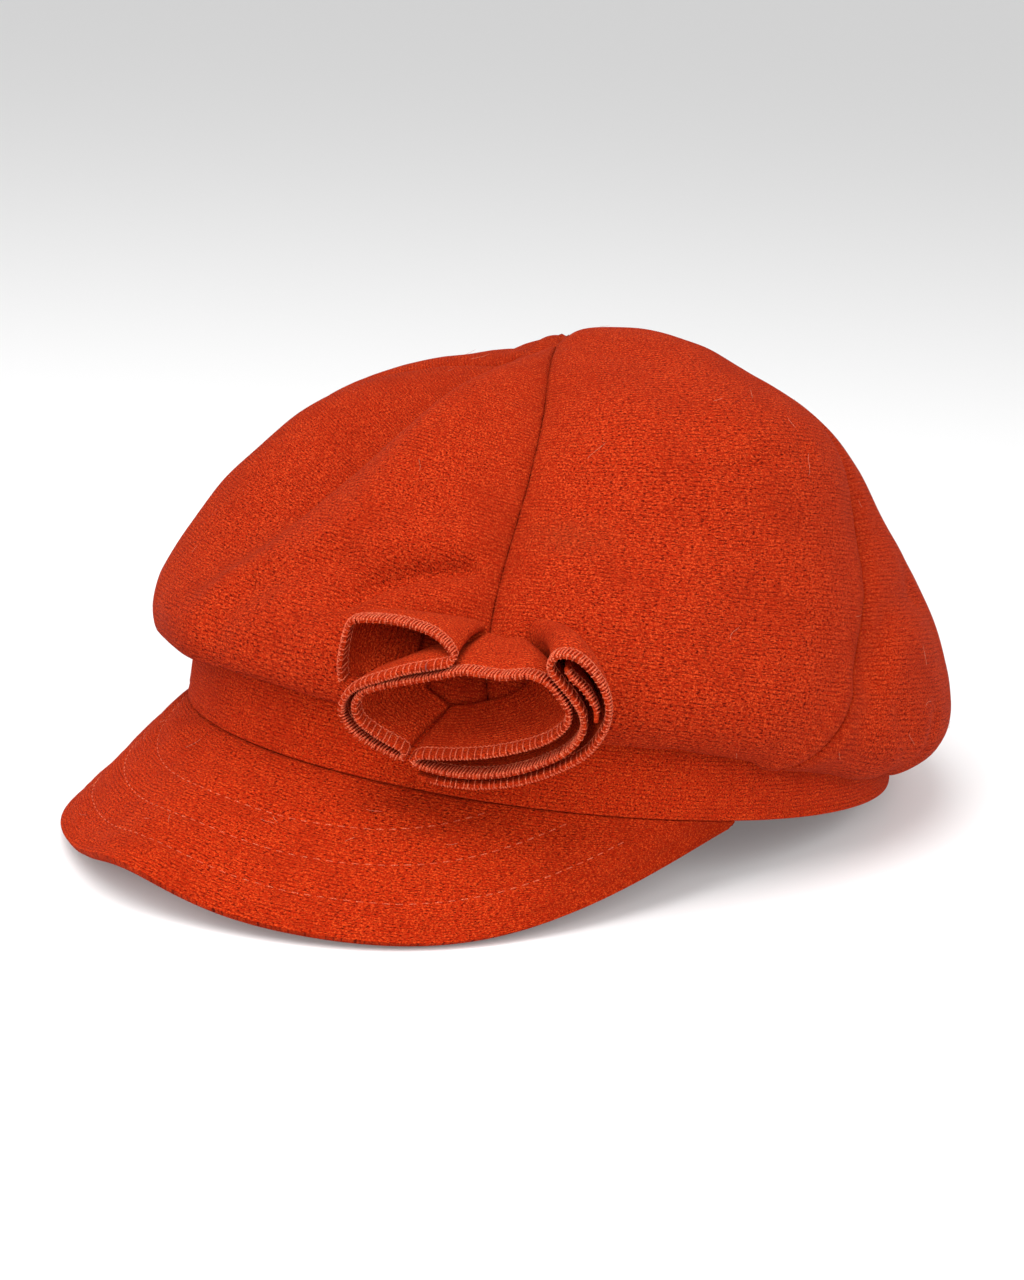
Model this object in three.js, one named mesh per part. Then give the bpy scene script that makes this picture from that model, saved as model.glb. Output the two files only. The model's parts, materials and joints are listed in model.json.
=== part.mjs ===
// A soft gored cap with a short sewn peak and a folded cloth rosette on the wearer's left front.
// Millimetres, +Z up. The wearer's front is -Y and the wearer's left is +X.
import * as THREE from 'three';
import { mergeVertices } from 'three/addons/utils/BufferGeometryUtils.js';

// Cloth and clearances
const CROWN_CLOTH = 1.5;
const BAND_CLOTH = 2.6;
const PEAK_TOP_CLOTH = 1.4;
const PEAK_UNDER_CLOTH = 1.2;
const ROSETTE_CLOTH = 1.0;
const SEAM_GAP = 0.3;

// The head band, an upright ellipse
const BAND = { halfWidth: 84, halfLength: 98, height: 25, segments: 72 };

// The crown, level by level from the band seam to the apex.
// reach is a share of the band's own radius and rise is the height above the rim,
// each given at the wearer's front, left, back and right.
const CROWN_LEVELS = [
  { name: 'seam', reach: [1.005, 1.005, 1.005, 1.005], rise: [25.3, 25.3, 25.3, 25.3] },
  { name: 'under', reach: [1.02, 1.03, 1.045, 1.03], rise: [20.5, 20, 13, 19] },
  { name: 'lip', reach: [1.07, 1.085, 1.1, 1.065], rise: [19, 19, 5, 14] },
  { name: 'bulge', reach: [1.06, 1.155, 1.15, 1.065], rise: [28, 26.5, 14.5, 24.5] },
  { name: 'side', reach: [0.955, 1.115, 1.1, 0.985], rise: [41.5, 43.5, 30.5, 40] },
  { name: 'shoulder', reach: [0.82, 0.985, 0.925, 0.8], rise: [60, 64, 53.5, 58] },
  { name: 'slope', reach: [0.605, 0.81, 0.655, 0.605], rise: [77.5, 90, 77.5, 75] },
  { name: 'top', reach: [0.285, 0.375, 0.46, 0.295], rise: [93, 103.5, 95, 90.5] },
  { name: 'apex', reach: [0, 0, 0, 0], rise: [100.5, 100.5, 100.5, 100.5] },
];
const APEX = { x: -15, y: -1 };
// The cloth hangs a little lower at the wearer's left, from the lip up to the side
const SAG = { azimuth: 106, width: 30, drop: 8, wholeFrom: 1, fadeFrom: 2, fadeSpan: 3 };
const PANEL_PUFF = 4;
const PUFF_FROM = { low: 0.15, lowSpan: 0.25, highSpan: 0.3 };
// Steps used to find the direction a curved surface faces
const PROBE = { degrees: 0.5, levels: 0.05 };
// At a panel's tip the two seam gaps take at most this share of its width each
const TIP_SHARE = 0.3;

// The six seams between the gores: azimuth from the wearer's front towards the left,
// at four even steps of height from a quarter of the way up to the apex.
const SEAM_STEPS = { first: 0.25, step: 0.25 };
const SEAMS = [
  { name: 'front_left', azimuth: [35, 34.5, 38.5, 39] },
  { name: 'left', azimuth: [80, 95, 116, 118] },
  { name: 'back_left', azimuth: [150, 153, 158, 162] },
  { name: 'back_right', azimuth: [212, 213, 214, 215] },
  { name: 'right', azimuth: [270, 268, 266, 264] },
  { name: 'front_right', azimuth: [320, 316, 316, 322] },
];
// Each panel lies between its own seam and the next one round
const PANELS = [
  { name: 'crown_panel_front_left', columns: 12 },
  { name: 'crown_panel_back_left', columns: 9 },
  { name: 'crown_panel_back', columns: 8 },
  { name: 'crown_panel_back_right', columns: 8 },
  { name: 'crown_panel_front_right', columns: 10 },
  { name: 'crown_panel_front', columns: 14 },
];
const PANEL_ROWS = [0, 0.5, 1, 1.5, 2, 2.5, 3, 3.5, 4, 4.5, 5, 5.5, 6, 6.5, 7, 7.5, 7.8, 7.95];

// Soft folds that run up the crown. Depth is inward, so a ridge has a negative depth.
const FOLD_STEPS = { first: 0.45, step: 0.15, fade: 0.12 };
const FOLDS = [
  { name: 'front_valley', azimuth: [-12, -5, 1, 9], depth: [4, 10, 13, 10], widthRight: 20, widthLeft: 10 },
  { name: 'front_ridge', azimuth: [6, 14, 20, 29], depth: [-2, -4, -5, -3], widthRight: 8, widthLeft: 16 },
];

// The peak, measured along its slope from the rim straight ahead
const PEAK = {
  rootAzimuth: 78,
  endAzimuth: 76.2,
  length: 45.5,
  outlinePower: 7,
  outlineFill: 1.5,
  slopeFront: 31,
  slopeSideMore: 8.2,
  slopeSpread: 0.23,
  tuck: 2.2,
  columns: 34,
  rows: [0, 0.25, 0.5, 0.75, 1],
};

// The rosette is one gathered strip. Its free edge is traced in the plane that faces out from the cap:
// x to the viewer's right, y up, out = how far the edge stands before that plane. The tables are drawn
// at the size that traceScale brings to life size; azimuth and level give the seat on the crown.
const ROSETTE = {
  azimuth: 34.6,
  level: 3.71,
  faceAzimuth: 35,
  droop: 22,
  roll: 8,
  depth: 26,
  traceScale: 0.91,
  gather: 0.5,
  rootDrop: 2.5,
  bend: 0.45,
  clearOfCrown: 1.6,
  sightline: 60,
};
// Rows of the strip from its free edge to its sewn root, where the gathers press the cloth thinner
const ROSETTE_WALL = [
  { share: 0, cloth: 1 },
  { share: 0.33, cloth: 1 },
  { share: 0.67, cloth: 0.8 },
  { share: 1, cloth: 0.6 },
];
const ROSETTE_STRIP = [
  // upper loop, from the strip's free end
  [-32.8, -4.4, -9], [-33.3, -0.5, -10], [-32.6, 4, -10.8], [-31.3, 9, -12], [-29.6, 11.4, -12],
  [-25, 12, -12], [-19.3, 12, -11.5], [-13.8, 11.8, -10], [-9.1, 11.2, -8], [-5.4, 10.1, -5],
  [-3.3, 8.8, -2], [-4.2, 7.7, -1], [-8, 7.1, 0], [-14, 5.6, 0], [-20, 3.4, 0], [-25.7, 1, 0],
  [-29.5, -2, 0], [-31.1, -6.4, 0], [-29.8, -10.8, 0], [-25.7, -14.7, 0], [-20.5, -17.6, 0],
  [-17, -19, 0],
  // inner loop
  [-16.6, -16.6, 0], [-20, -14.5, 0], [-24, -11.8, 0], [-27, -8.8, 0], [-27.6, -4.6, 0],
  [-25.2, -1, 0], [-19.9, 1.2, 0], [-12.5, 3.1, 0], [-5.7, 4.9, 0], [-0.5, 6.1, 0], [4, 5.8, 0],
  [8.9, 5.3, 0], [14.8, 6.1, 0], [19.1, 4.5, 0], [22.1, 0.8, 0], [24, -3.1, 0], [23.2, -7.2, 0],
  [18.5, -11.4, 0], [11.5, -14.4, 0], [2.8, -16.7, 0], [-6.6, -17.8, 0], [-12.2, -18, 0],
  [-14.6, -19.4, 0],
  // middle wrap
  [-12.8, -21, 0], [-6, -22.5, 0], [1, -22.7, 0], [8.5, -21.5, 0], [16, -18.7, 0], [22.9, -14.5, 0],
  [26.9, -9.5, 0], [27.6, -4.5, 0], [25.4, 0.5, 0], [22.4, 4.6, 0], [20.4, 7.8, 0], [20.5, 10.2, 0],
  // outer wrap
  [22.6, 12.1, 0], [26.2, 11.7, 0], [29.8, 8.4, 0], [32.7, 3.1, 0], [33.6, -2.7, 0], [31.9, -8.7, 0],
  [27.6, -14.8, 0], [20.5, -19.6, 0], [11.5, -23.6, 0], [1.8, -25.5, 0], [-6.8, -25.3, 0],
  [-13.3, -23.8, 0],
];
const ROSETTE_TONGUE = [
  [23.7, 8.5, -1], [25, 6.4, 0], [28, 3.2, 0], [30.1, -0.6, 0], [30.7, -3.4, 0], [30.5, -5.4, 0],
];

const CLOTH_COLOUR = 0xc8401f;
const SHADE_COLOUR = 0xb0361a;

const radians = (degrees) => (degrees * Math.PI) / 180;
const clamp01 = (value) => Math.min(1, Math.max(0, value));
const smooth = (value) => value * value * (3 - 2 * value);

function catmullRom(before, a, b, after, f) {
  return 0.5 * (2 * a + (b - before) * f + (2 * before - 5 * a + 4 * b - after) * f * f
    + (3 * a - before - 3 * b + after) * f * f * f);
}

// Smooth reading of a short row of values at a place counted in entries
function readRow(values, place) {
  const last = values.length - 1;
  const at = Math.min(last, Math.max(0, place));
  const i = Math.min(last - 1, Math.floor(at));
  const before = values[Math.max(0, i - 1)];
  const after = values[Math.min(last, i + 2)];
  return catmullRom(before, values[i], values[i + 1], after, at - i);
}

// Blend of four values given at the wearer's front, left, back and right
function around(values, azimuth) {
  const c = Math.cos(radians(azimuth));
  const s = Math.sin(radians(azimuth));
  const lengthwise = c > 0 ? values[0] : values[2];
  const sideways = s > 0 ? values[1] : values[3];
  return lengthwise * c * c + sideways * s * s;
}

function bandRadius(azimuth) {
  const s = Math.sin(radians(azimuth)) / BAND.halfWidth;
  const c = Math.cos(radians(azimuth)) / BAND.halfLength;
  return 1 / Math.sqrt(s * s + c * c);
}

function crownBase(azimuth, level) {
  const last = CROWN_LEVELS.length - 1;
  const i = Math.min(last - 1, Math.max(0, Math.floor(level)));
  const f = level - i;
  const pick = (key, k) => around(CROWN_LEVELS[Math.max(0, k)][key], azimuth);
  const beyondReach = i + 2 > last ? -pick('reach', last - 1) : pick('reach', i + 2);
  const beyondRise = i + 2 > last ? pick('rise', last - 1) : pick('rise', i + 2);
  const reach = catmullRom(pick('reach', i - 1), pick('reach', i), pick('reach', i + 1), beyondReach, f);
  const rise = catmullRom(pick('rise', i - 1), pick('rise', i), pick('rise', i + 1), beyondRise, f);
  const fromSag = (((azimuth - SAG.azimuth + 540) % 360) - 180) / SAG.width;
  const sag = SAG.drop * Math.exp(-(fromSag ** 2)) * smooth(clamp01(level / SAG.wholeFrom))
    * (1 - smooth(clamp01((level - SAG.fadeFrom) / SAG.fadeSpan)));
  const radius = bandRadius(azimuth) * reach;
  const shift = smooth(clamp01(level / last));
  return new THREE.Vector3(
    radius * Math.sin(radians(azimuth)) + APEX.x * shift,
    -radius * Math.cos(radians(azimuth)) + APEX.y * shift,
    rise - sag,
  );
}

function seamAzimuth(index, height) {
  const turns = Math.floor(index / SEAMS.length);
  const row = SEAMS[index - turns * SEAMS.length];
  return readRow(row.azimuth, (height - SEAM_STEPS.first) / SEAM_STEPS.step) + 360 * turns;
}

function foldDepth(azimuth, height, radius) {
  const lastStep = FOLD_STEPS.first + 3 * FOLD_STEPS.step;
  const rising = smooth(clamp01((height - FOLD_STEPS.first + FOLD_STEPS.fade) / FOLD_STEPS.fade));
  const falling = smooth(clamp01((1 - height) / (1 - lastStep)));
  let total = 0;
  for (const fold of FOLDS) {
    const place = (height - FOLD_STEPS.first) / FOLD_STEPS.step;
    const turn = ((azimuth - readRow(fold.azimuth, place) + 540) % 360) - 180;
    const away = radians(turn) * radius;
    const width = away < 0 ? fold.widthRight : fold.widthLeft;
    total += readRow(fold.depth, place) * Math.exp(-((away / width) ** 2)) * rising * falling;
  }
  return total;
}

// Outer face of the crown: share runs across one panel, from its own seam to the next
function crownPoint(panel, share, level) {
  const height = level / (CROWN_LEVELS.length - 1);
  const from = seamAzimuth(panel, height);
  const to = seamAzimuth(panel + 1, height);
  const azimuth = from + (to - from) * share;
  const here = crownBase(azimuth, level);
  const turn = PROBE.degrees;
  const ahead = crownBase(azimuth + turn, level).sub(crownBase(azimuth - turn, level));
  const up = crownBase(azimuth, Math.min(level + PROBE.levels, CROWN_LEVELS.length - 1))
    .sub(crownBase(azimuth, Math.max(level - PROBE.levels, 0)));
  const normal = new THREE.Vector3().crossVectors(ahead, up).normalize();
  const sine = Math.abs(Math.sin(Math.PI * share));
  const fullness = clamp01((height - PUFF_FROM.low) / PUFF_FROM.lowSpan)
    * clamp01((1 - height) / PUFF_FROM.highSpan);
  const puff = PANEL_PUFF * (2 * sine - sine * sine) * fullness;
  const shift = smooth(clamp01(height));
  const radius = Math.hypot(here.x - APEX.x * shift, here.y - APEX.y * shift);
  return here.addScaledVector(normal, puff - foldDepth(azimuth, height, radius));
}

// A cloth wall from a grid of points: its faces lie at two offsets along the grid's own normals,
// scaled row by row where rowScale is given.
// edge is 'ring' where the columns close on themselves, 'guided' where the first and last column
// only give the direction of the neighbouring cloth, and 'open' elsewhere.
function wall(points, front, back, edge = 'open', rowScale = null) {
  const rows = points.length;
  const ring = edge === 'ring';
  const guide = edge === 'guided' ? 1 : 0;
  const columns = points[0].length - 2 * guide;
  const wrap = (j) => (ring ? (j + columns) % columns : Math.min(columns - 1, Math.max(0, j)));
  const neighbour = (j) => (guide ? j + guide : wrap(j));
  const clampRow = (i) => Math.min(rows - 1, Math.max(0, i));
  const positions = [];
  for (const offset of [front, back]) {
    for (let i = 0; i < rows; i += 1) {
      for (let j = 0; j < columns; j += 1) {
        const here = points[i][j + guide];
        const along = points[i][neighbour(j + 1)].clone().sub(points[i][neighbour(j - 1)]);
        const up = points[clampRow(i + 1)][j + guide].clone().sub(points[clampRow(i - 1)][j + guide]);
        const normal = along.cross(up).normalize();
        const place = here.clone().addScaledVector(normal, offset * (rowScale ? rowScale[i] : 1));
        positions.push(place.x, place.y, place.z);
      }
    }
  }
  const indices = [];
  const quad = (a, b, c, d) => indices.push(a, b, c, a, c, d);
  const index = (side, i, j) => side * rows * columns + i * columns + wrap(j);
  const spans = ring ? columns : columns - 1;
  for (let i = 0; i < rows - 1; i += 1) {
    for (let j = 0; j < spans; j += 1) {
      quad(index(0, i, j), index(0, i, j + 1), index(0, i + 1, j + 1), index(0, i + 1, j));
      quad(index(1, i, j), index(1, i + 1, j), index(1, i + 1, j + 1), index(1, i, j + 1));
    }
  }
  for (let j = 0; j < spans; j += 1) {
    quad(index(0, 0, j), index(1, 0, j), index(1, 0, j + 1), index(0, 0, j + 1));
    quad(index(0, rows - 1, j), index(0, rows - 1, j + 1), index(1, rows - 1, j + 1), index(1, rows - 1, j));
  }
  if (!ring) {
    const end = columns - 1;
    for (let i = 0; i < rows - 1; i += 1) {
      quad(index(0, i, 0), index(0, i + 1, 0), index(1, i + 1, 0), index(1, i, 0));
      quad(index(0, i, end), index(1, i, end), index(1, i + 1, end), index(0, i + 1, end));
    }
  }
  const geometry = new THREE.BufferGeometry();
  geometry.setAttribute('position', new THREE.Float32BufferAttribute(positions, 3));
  geometry.setIndex(indices);
  const merged = mergeVertices(geometry, 1e-5);
  merged.computeVertexNormals();
  return merged;
}

function mesh(name, geometry, colour) {
  const material = new THREE.MeshStandardMaterial({ color: colour, roughness: 0.95, metalness: 0 });
  const made = new THREE.Mesh(geometry, material);
  made.name = name;
  return made;
}

function makeBand() {
  const rows = [0, BAND.height].map((z) => {
    const row = [];
    for (let j = 0; j < BAND.segments; j += 1) {
      const azimuth = (360 * j) / BAND.segments;
      const radius = bandRadius(azimuth);
      const x = radius * Math.sin(radians(azimuth));
      const y = -radius * Math.cos(radians(azimuth));
      row.push(new THREE.Vector3(x, y, z));
    }
    return row;
  });
  return mesh('band', wall(rows, 0, -BAND_CLOTH, 'ring'), CLOTH_COLOUR);
}

function panelRows(index, columns, seamGap) {
  return PANEL_ROWS.map((level) => {
    const left = crownPoint(index, 0, level);
    const right = crownPoint(index, 1, level);
    const middle = crownPoint(index, 0.5, level);
    const span = left.distanceTo(middle) + middle.distanceTo(right);
    const inset = Math.min(TIP_SHARE, seamGap / 2 / span);
    const row = [];
    for (let j = -1; j <= columns + 1; j += 1) {
      row.push(crownPoint(index, inset + ((1 - 2 * inset) * j) / columns, level));
    }
    return row;
  });
}

function makePanel(panel, index) {
  const rows = panelRows(index, panel.columns, SEAM_GAP);
  return mesh(panel.name, wall(rows, 0, -CROWN_CLOTH, 'guided'), CLOTH_COLOUR);
}

// Middle of the peak's two layers, from the tucked root to the outer edge
function peakPoint(azimuth, share) {
  const s = Math.sin(radians(azimuth));
  const c = Math.cos(radians(azimuth));
  const root = new THREE.Vector3(BAND.halfWidth * s, -BAND.halfLength * c, 0);
  if (share < 0) {
    const inward = new THREE.Vector3(-s / BAND.halfWidth, c / BAND.halfLength, 0).normalize();
    return root.addScaledVector(inward, PEAK.tuck);
  }
  const across = Math.min(1, Math.abs(azimuth) / PEAK.rootAzimuth);
  const length = PEAK.length * (1 - across ** PEAK.outlinePower) ** PEAK.outlineFill * share;
  const toSide = 1 - Math.exp(-((s / PEAK.slopeSpread) ** 2));
  const slope = radians(PEAK.slopeFront + PEAK.slopeSideMore * toSide);
  root.y -= length * Math.cos(slope);
  root.z -= length * Math.sin(slope);
  return root;
}

function makePeak() {
  const rows = [-1, ...PEAK.rows].map((share) => {
    const row = [];
    for (let j = 0; j <= PEAK.columns; j += 1) {
      const azimuth = PEAK.endAzimuth * Math.sin((Math.PI / 2) * ((2 * j) / PEAK.columns - 1));
      row.push(peakPoint(azimuth, share));
    }
    return row;
  });
  rows.reverse();
  const topFace = -SEAM_GAP;
  const split = topFace - PEAK_TOP_CLOTH;
  const underFace = split - SEAM_GAP;
  return [
    mesh('peak_top', wall(rows, topFace, split), CLOTH_COLOUR),
    mesh('peak_under', wall(rows, underFace, underFace - PEAK_UNDER_CLOTH), SHADE_COLOUR),
  ];
}

function makeRosette() {
  const frontSeam = seamAzimuth(-1, 0.5);
  const share = (ROSETTE.azimuth - frontSeam) / (seamAzimuth(0, 0.5) - frontSeam);
  const seat = crownPoint(-1, share, ROSETTE.level);
  const seatSurfaces = [-1, 0].map((index) => {
    const cloth = wall(panelRows(index, PANELS[0].columns, 0), 0, -CROWN_CLOTH, 'guided');
    const surface = mesh('seat', cloth, CLOTH_COLOUR);
    surface.material.side = THREE.DoubleSide;
    surface.updateMatrixWorld(true);
    return surface;
  });
  const face = radians(ROSETTE.faceAzimuth);
  const droop = radians(ROSETTE.droop);
  const out = new THREE.Vector3(
    Math.sin(face) * Math.cos(droop),
    -Math.cos(face) * Math.cos(droop),
    -Math.sin(droop),
  );
  const level = new THREE.Vector3(Math.cos(face), Math.sin(face), 0);
  const right = level.clone().applyAxisAngle(out, radians(ROSETTE.roll));
  const up = new THREE.Vector3().crossVectors(out, right);
  const centre = seat.clone().addScaledVector(out, ROSETTE.depth);
  const ray = new THREE.Raycaster();
  const heightOverCrown = (point) => {
    ray.set(point.clone().addScaledVector(out, ROSETTE.sightline), out.clone().negate());
    const hits = ray.intersectObjects(seatSurfaces, false);
    return hits.length > 0 ? hits[0].distance - ROSETTE.sightline : ROSETTE.depth;
  };
  const place = (x, y, z) => centre.clone()
    .addScaledVector(right, x * ROSETTE.traceScale)
    .addScaledVector(up, y * ROSETTE.traceScale)
    .addScaledVector(out, z * ROSETTE.traceScale);

  const strip = (name, table) => {
    const edge = [];
    for (let k = 0; k < table.length; k += 1) {
      edge.push(table[k]);
      if (k + 1 < table.length) {
        const halfway = k + 0.5;
        edge.push([0, 1, 2].map((c) => readRow(table.map((row) => row[c]), halfway)));
      }
    }
    const roots = edge.map(([x, y]) => {
      const start = place(x * ROSETTE.gather, y * ROSETTE.gather - ROSETTE.rootDrop, 0);
      return start.addScaledVector(out, ROSETTE.clearOfCrown - heightOverCrown(start));
    });
    const rows = ROSETTE_WALL.map(({ share }) => edge.map(([x, y, z], k) => {
      const lip = place(x, y, z);
      const bend = lip.clone().addScaledVector(out, -ROSETTE.bend * lip.distanceTo(roots[k]));
      const a = lip.lerp(bend, share);
      const b = bend.clone().lerp(roots[k], share);
      const point = a.lerp(b, share);
      const short = ROSETTE.clearOfCrown - heightOverCrown(point);
      return short > 0 ? point.addScaledVector(out, short) : point;
    }));
    const half = ROSETTE_CLOTH / 2;
    const pressed = ROSETTE_WALL.map((row) => row.cloth);
    return mesh(name, wall(rows, half, -half, 'open', pressed), CLOTH_COLOUR);
  };
  return [strip('rosette_strip', ROSETTE_STRIP), strip('rosette_tongue', ROSETTE_TONGUE)];
}

const cap = new THREE.Group();
const band = makeBand();
const crown = PANELS.map((panel, index) => makePanel(panel, index));
const peak = makePeak();
const rosette = makeRosette();
cap.add(band, ...crown, ...peak, ...rosette);

// The cap rocks forward on the back of its rim until the peak touches the surface it stands on
function lowest(object, tilt) {
  cap.rotation.x = -tilt;
  cap.updateMatrixWorld(true);
  return new THREE.Box3().setFromObject(object, true).min.z;
}
const STEEPEST_REST = 20;
const REST_HALVINGS = 40;
let low = 0;
let high = radians(STEEPEST_REST);
for (let k = 0; k < REST_HALVINGS; k += 1) {
  const tilt = (low + high) / 2;
  if (lowest(peak[1], tilt) < lowest(band, tilt)) {
    low = tilt;
  } else {
    high = tilt;
  }
}
cap.rotation.x = -high;
cap.updateMatrixWorld(true);

// The origin is the middle of the footprint, on that surface
const box = new THREE.Box3().setFromObject(cap, true);
cap.position.set(-(box.min.x + box.max.x) / 2, -(box.min.y + box.max.y) / 2, -box.min.z);

const model = new THREE.Group();
model.add(cap);
model.updateMatrixWorld(true);

export default model;
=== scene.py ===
# %% [markdown]
# # A soft gored cap with a sewn peak and a folded rosette
# The cap is brushed wool cloth. Six gores are sewn into a full crown, the crown is sewn to a narrow
# upright head band, a short peak of two layers hangs from the band, and one long strip is folded to
# and fro into a rosette at the wearer's left front.
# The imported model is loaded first. It is the fixed frame that every piece here is fitted to.

# %% Load the frame
import itertools
import json
import math

import bpy
import numpy as np
from mathutils import Matrix, Vector
from mathutils.bvhtree import BVHTree


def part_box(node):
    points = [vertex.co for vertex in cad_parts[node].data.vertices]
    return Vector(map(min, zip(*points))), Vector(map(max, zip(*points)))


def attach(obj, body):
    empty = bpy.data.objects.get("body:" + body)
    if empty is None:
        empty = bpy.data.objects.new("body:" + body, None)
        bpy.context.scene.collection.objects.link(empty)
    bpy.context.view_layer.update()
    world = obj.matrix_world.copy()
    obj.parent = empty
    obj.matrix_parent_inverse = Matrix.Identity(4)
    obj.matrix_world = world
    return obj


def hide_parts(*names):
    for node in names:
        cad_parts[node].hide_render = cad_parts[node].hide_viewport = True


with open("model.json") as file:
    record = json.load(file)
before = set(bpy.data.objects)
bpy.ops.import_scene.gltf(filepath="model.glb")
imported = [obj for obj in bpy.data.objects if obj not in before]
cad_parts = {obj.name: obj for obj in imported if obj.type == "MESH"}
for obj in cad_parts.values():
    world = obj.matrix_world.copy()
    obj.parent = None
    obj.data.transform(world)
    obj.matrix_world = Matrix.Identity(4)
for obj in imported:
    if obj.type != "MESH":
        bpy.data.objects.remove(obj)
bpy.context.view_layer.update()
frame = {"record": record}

# %% [markdown]
# ## Where the cap stands
# A hatter draws a cap upright, with its rim level, so the shapes below are worked out that way and in
# millimetres. The finished cap rests tipped back, on the back of its rim and on its peak, which holds
# the front up. The tip and the place are read from the frame: the rim's mount says how far the rim
# is tipped, and the band's box says where it stands.

# %% From the cap's own millimetres to the frame
MM = 0.001
HALF_WIDTH = 84
HALF_LENGTH = 98
BAND_HEIGHT = 25

rim_axis = frame["record"]["mounts"][0]["axis"]
TIP = math.atan2(-rim_axis[1], -rim_axis[2])
band_low, band_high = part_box("band")
STAND = np.array([
    (band_low[0] + band_high[0]) / 2 / MM,
    band_low[1] / MM + HALF_LENGTH * math.cos(TIP),
    HALF_LENGTH * math.sin(TIP),
])


def stand(points):
    """Points in the cap's own millimetres, taken to their place in the frame, in metres."""
    x, y, z = points[..., 0], points[..., 1], points[..., 2]
    c, s = math.cos(TIP), math.sin(TIP)
    return (np.stack([x, y * c + z * s, z * c - y * s], axis=-1) + STAND) * MM


print("rim tipped", round(math.degrees(TIP), 2), "degrees, standing at", STAND.round(2))

# %% [markdown]
# ## Camera
# The camera looks at the cap's left front, a little from above. The picture's long side is 1280
# pixels and the focal length is 2700 pixels, which gives the lens. The small turns after the aim
# bring the cap to its place in the picture.

# %% Camera at the photograph's angle
FRAME_HEIGHT_PIXELS = 1280
FOCAL_PIXELS = 2700
SENSOR = 36
VIEW_AZIMUTH, VIEW_ELEVATION, VIEW_DISTANCE = 42, 18.9, 0.700
TURN_LEFT, TURN_DOWN, ROLL = 0.77, -3.01, 3.4
VIEW_FORWARD = 1.066
VIEW_CENTRE = Vector((STAND[0], STAND[1] - VIEW_FORWARD, 0)) * MM


def turned(first, second, degrees):
    """The two directions of a right angle, both turned towards each other's place."""
    c, s = math.cos(math.radians(degrees)), math.sin(math.radians(degrees))
    return first * c + second * s, second * c - first * s


def add_camera():
    a, e = math.radians(VIEW_AZIMUTH), math.radians(VIEW_ELEVATION)
    back = Vector((math.sin(a) * math.cos(e), -math.cos(a) * math.cos(e), math.sin(e)))
    right = Vector((math.cos(a), math.sin(a), 0))
    up = back.cross(right)
    place = back * VIEW_DISTANCE + VIEW_CENTRE
    back, right = turned(back, right, TURN_LEFT)
    back, up = turned(back, up, TURN_DOWN)
    right, up = turned(right, up, ROLL)
    bpy.ops.object.camera_add()
    camera = bpy.context.object
    camera.name = "camera"
    camera.data.sensor_width = SENSOR
    camera.data.lens = FOCAL_PIXELS / FRAME_HEIGHT_PIXELS * SENSOR
    camera.matrix_world = Matrix.Translation(place) @ Matrix((right, up, back)).transposed().to_4x4()
    bpy.context.scene.camera = camera
    return camera


camera = add_camera()
print("camera at", [round(v, 3) for v in camera.location], "lens", round(camera.data.lens, 2))

# %% [markdown]
# ## Reading short tables smoothly
# A cap's shape is known at a few levels and a few directions only. A Catmull-Rom curve passes through
# such values and stays smooth between them, so each table can stay as short as its shape allows.

# %% Helpers that read tables


def catmull_rom(before, a, b, after, f):
    """The smooth curve through a and b, at the part f of the way from a to b."""
    bend = (2 * before - 5 * a + 4 * b - after) * f * f
    twist = (3 * a - before - 3 * b + after) * f * f * f
    return 0.5 * (2 * a + (b - before) * f + bend + twist)


def read_row(values, place):
    """Smooth reading of a row of values at places counted in entries."""
    values = np.asarray(values, dtype=float)
    last = len(values) - 1
    at = np.clip(place, 0, last)
    i = np.minimum(last - 1, np.floor(at).astype(int))
    before, after = values[np.maximum(0, i - 1)], values[np.minimum(last, i + 2)]
    return catmull_rom(before, values[i], values[i + 1], after, at - i)


def smooth(value):
    value = np.clip(value, 0, 1)
    return value * value * (3 - 2 * value)


def unit(vectors):
    return vectors / np.maximum(np.linalg.norm(vectors, axis=-1, keepdims=True), 1e-12)


def lengths_along(line):
    """How far each point of a line lies from its first point, along the line."""
    steps = np.linalg.norm(np.diff(line, axis=0), axis=-1)
    return np.concatenate([[0], np.cumsum(steps)])


# %% [markdown]
# Cloth is never quite even. Soft noise gives the hand-made waviness: random values on a lattice,
# blended smoothly. Its tables come from fixed seeds, so every run gives the same cap. A shift moves
# the noise, so that each use of it looks different.

# %% Soft noise
LATTICE = 256
ORDER_SEED, VALUE_SEED = 11, 12
lattice_order = np.random.default_rng(ORDER_SEED).permutation(LATTICE)
lattice_value = np.random.default_rng(VALUE_SEED).uniform(-1, 1, LATTICE)


def soft_noise(points, size, shift=0.0):
    """Smooth noise from -1 to 1, whose bumps are about size across."""
    spot = np.asarray(points) / size + shift
    cell = np.floor(spot).astype(int)
    part = smooth(spot - cell)
    total = 0
    for corner in itertools.product((0, 1), repeat=3):
        step = (cell + corner) % LATTICE
        key = lattice_order[step[..., 0]]
        key = lattice_order[(key + step[..., 1]) % LATTICE]
        key = lattice_order[(key + step[..., 2]) % LATTICE]
        weight = np.prod(np.where(np.array(corner) == 1, part, 1 - part), axis=-1)
        total = total + weight * lattice_value[key]
    return total


print("noise at the origin", round(float(soft_noise(np.zeros((1, 3)), 5.0)[0]), 3))

# %% [markdown]
# ## Cloth from a flat grid
# Every cloth piece here starts as a flat grid, like cloth off the roll. Its vertices are moved to the
# sewn shape, as a sculptor would push them, then a Solidify modifier gives the cloth its thickness.
# A Bevel rounds a cut edge that shows. On the crown only the outer face is worked again after that,
# for its seams, because they don't show on the inner side.

# %% Helpers that make cloth
BEVEL_SEGMENTS, BEVEL_ANGLE = 3, 55


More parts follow.
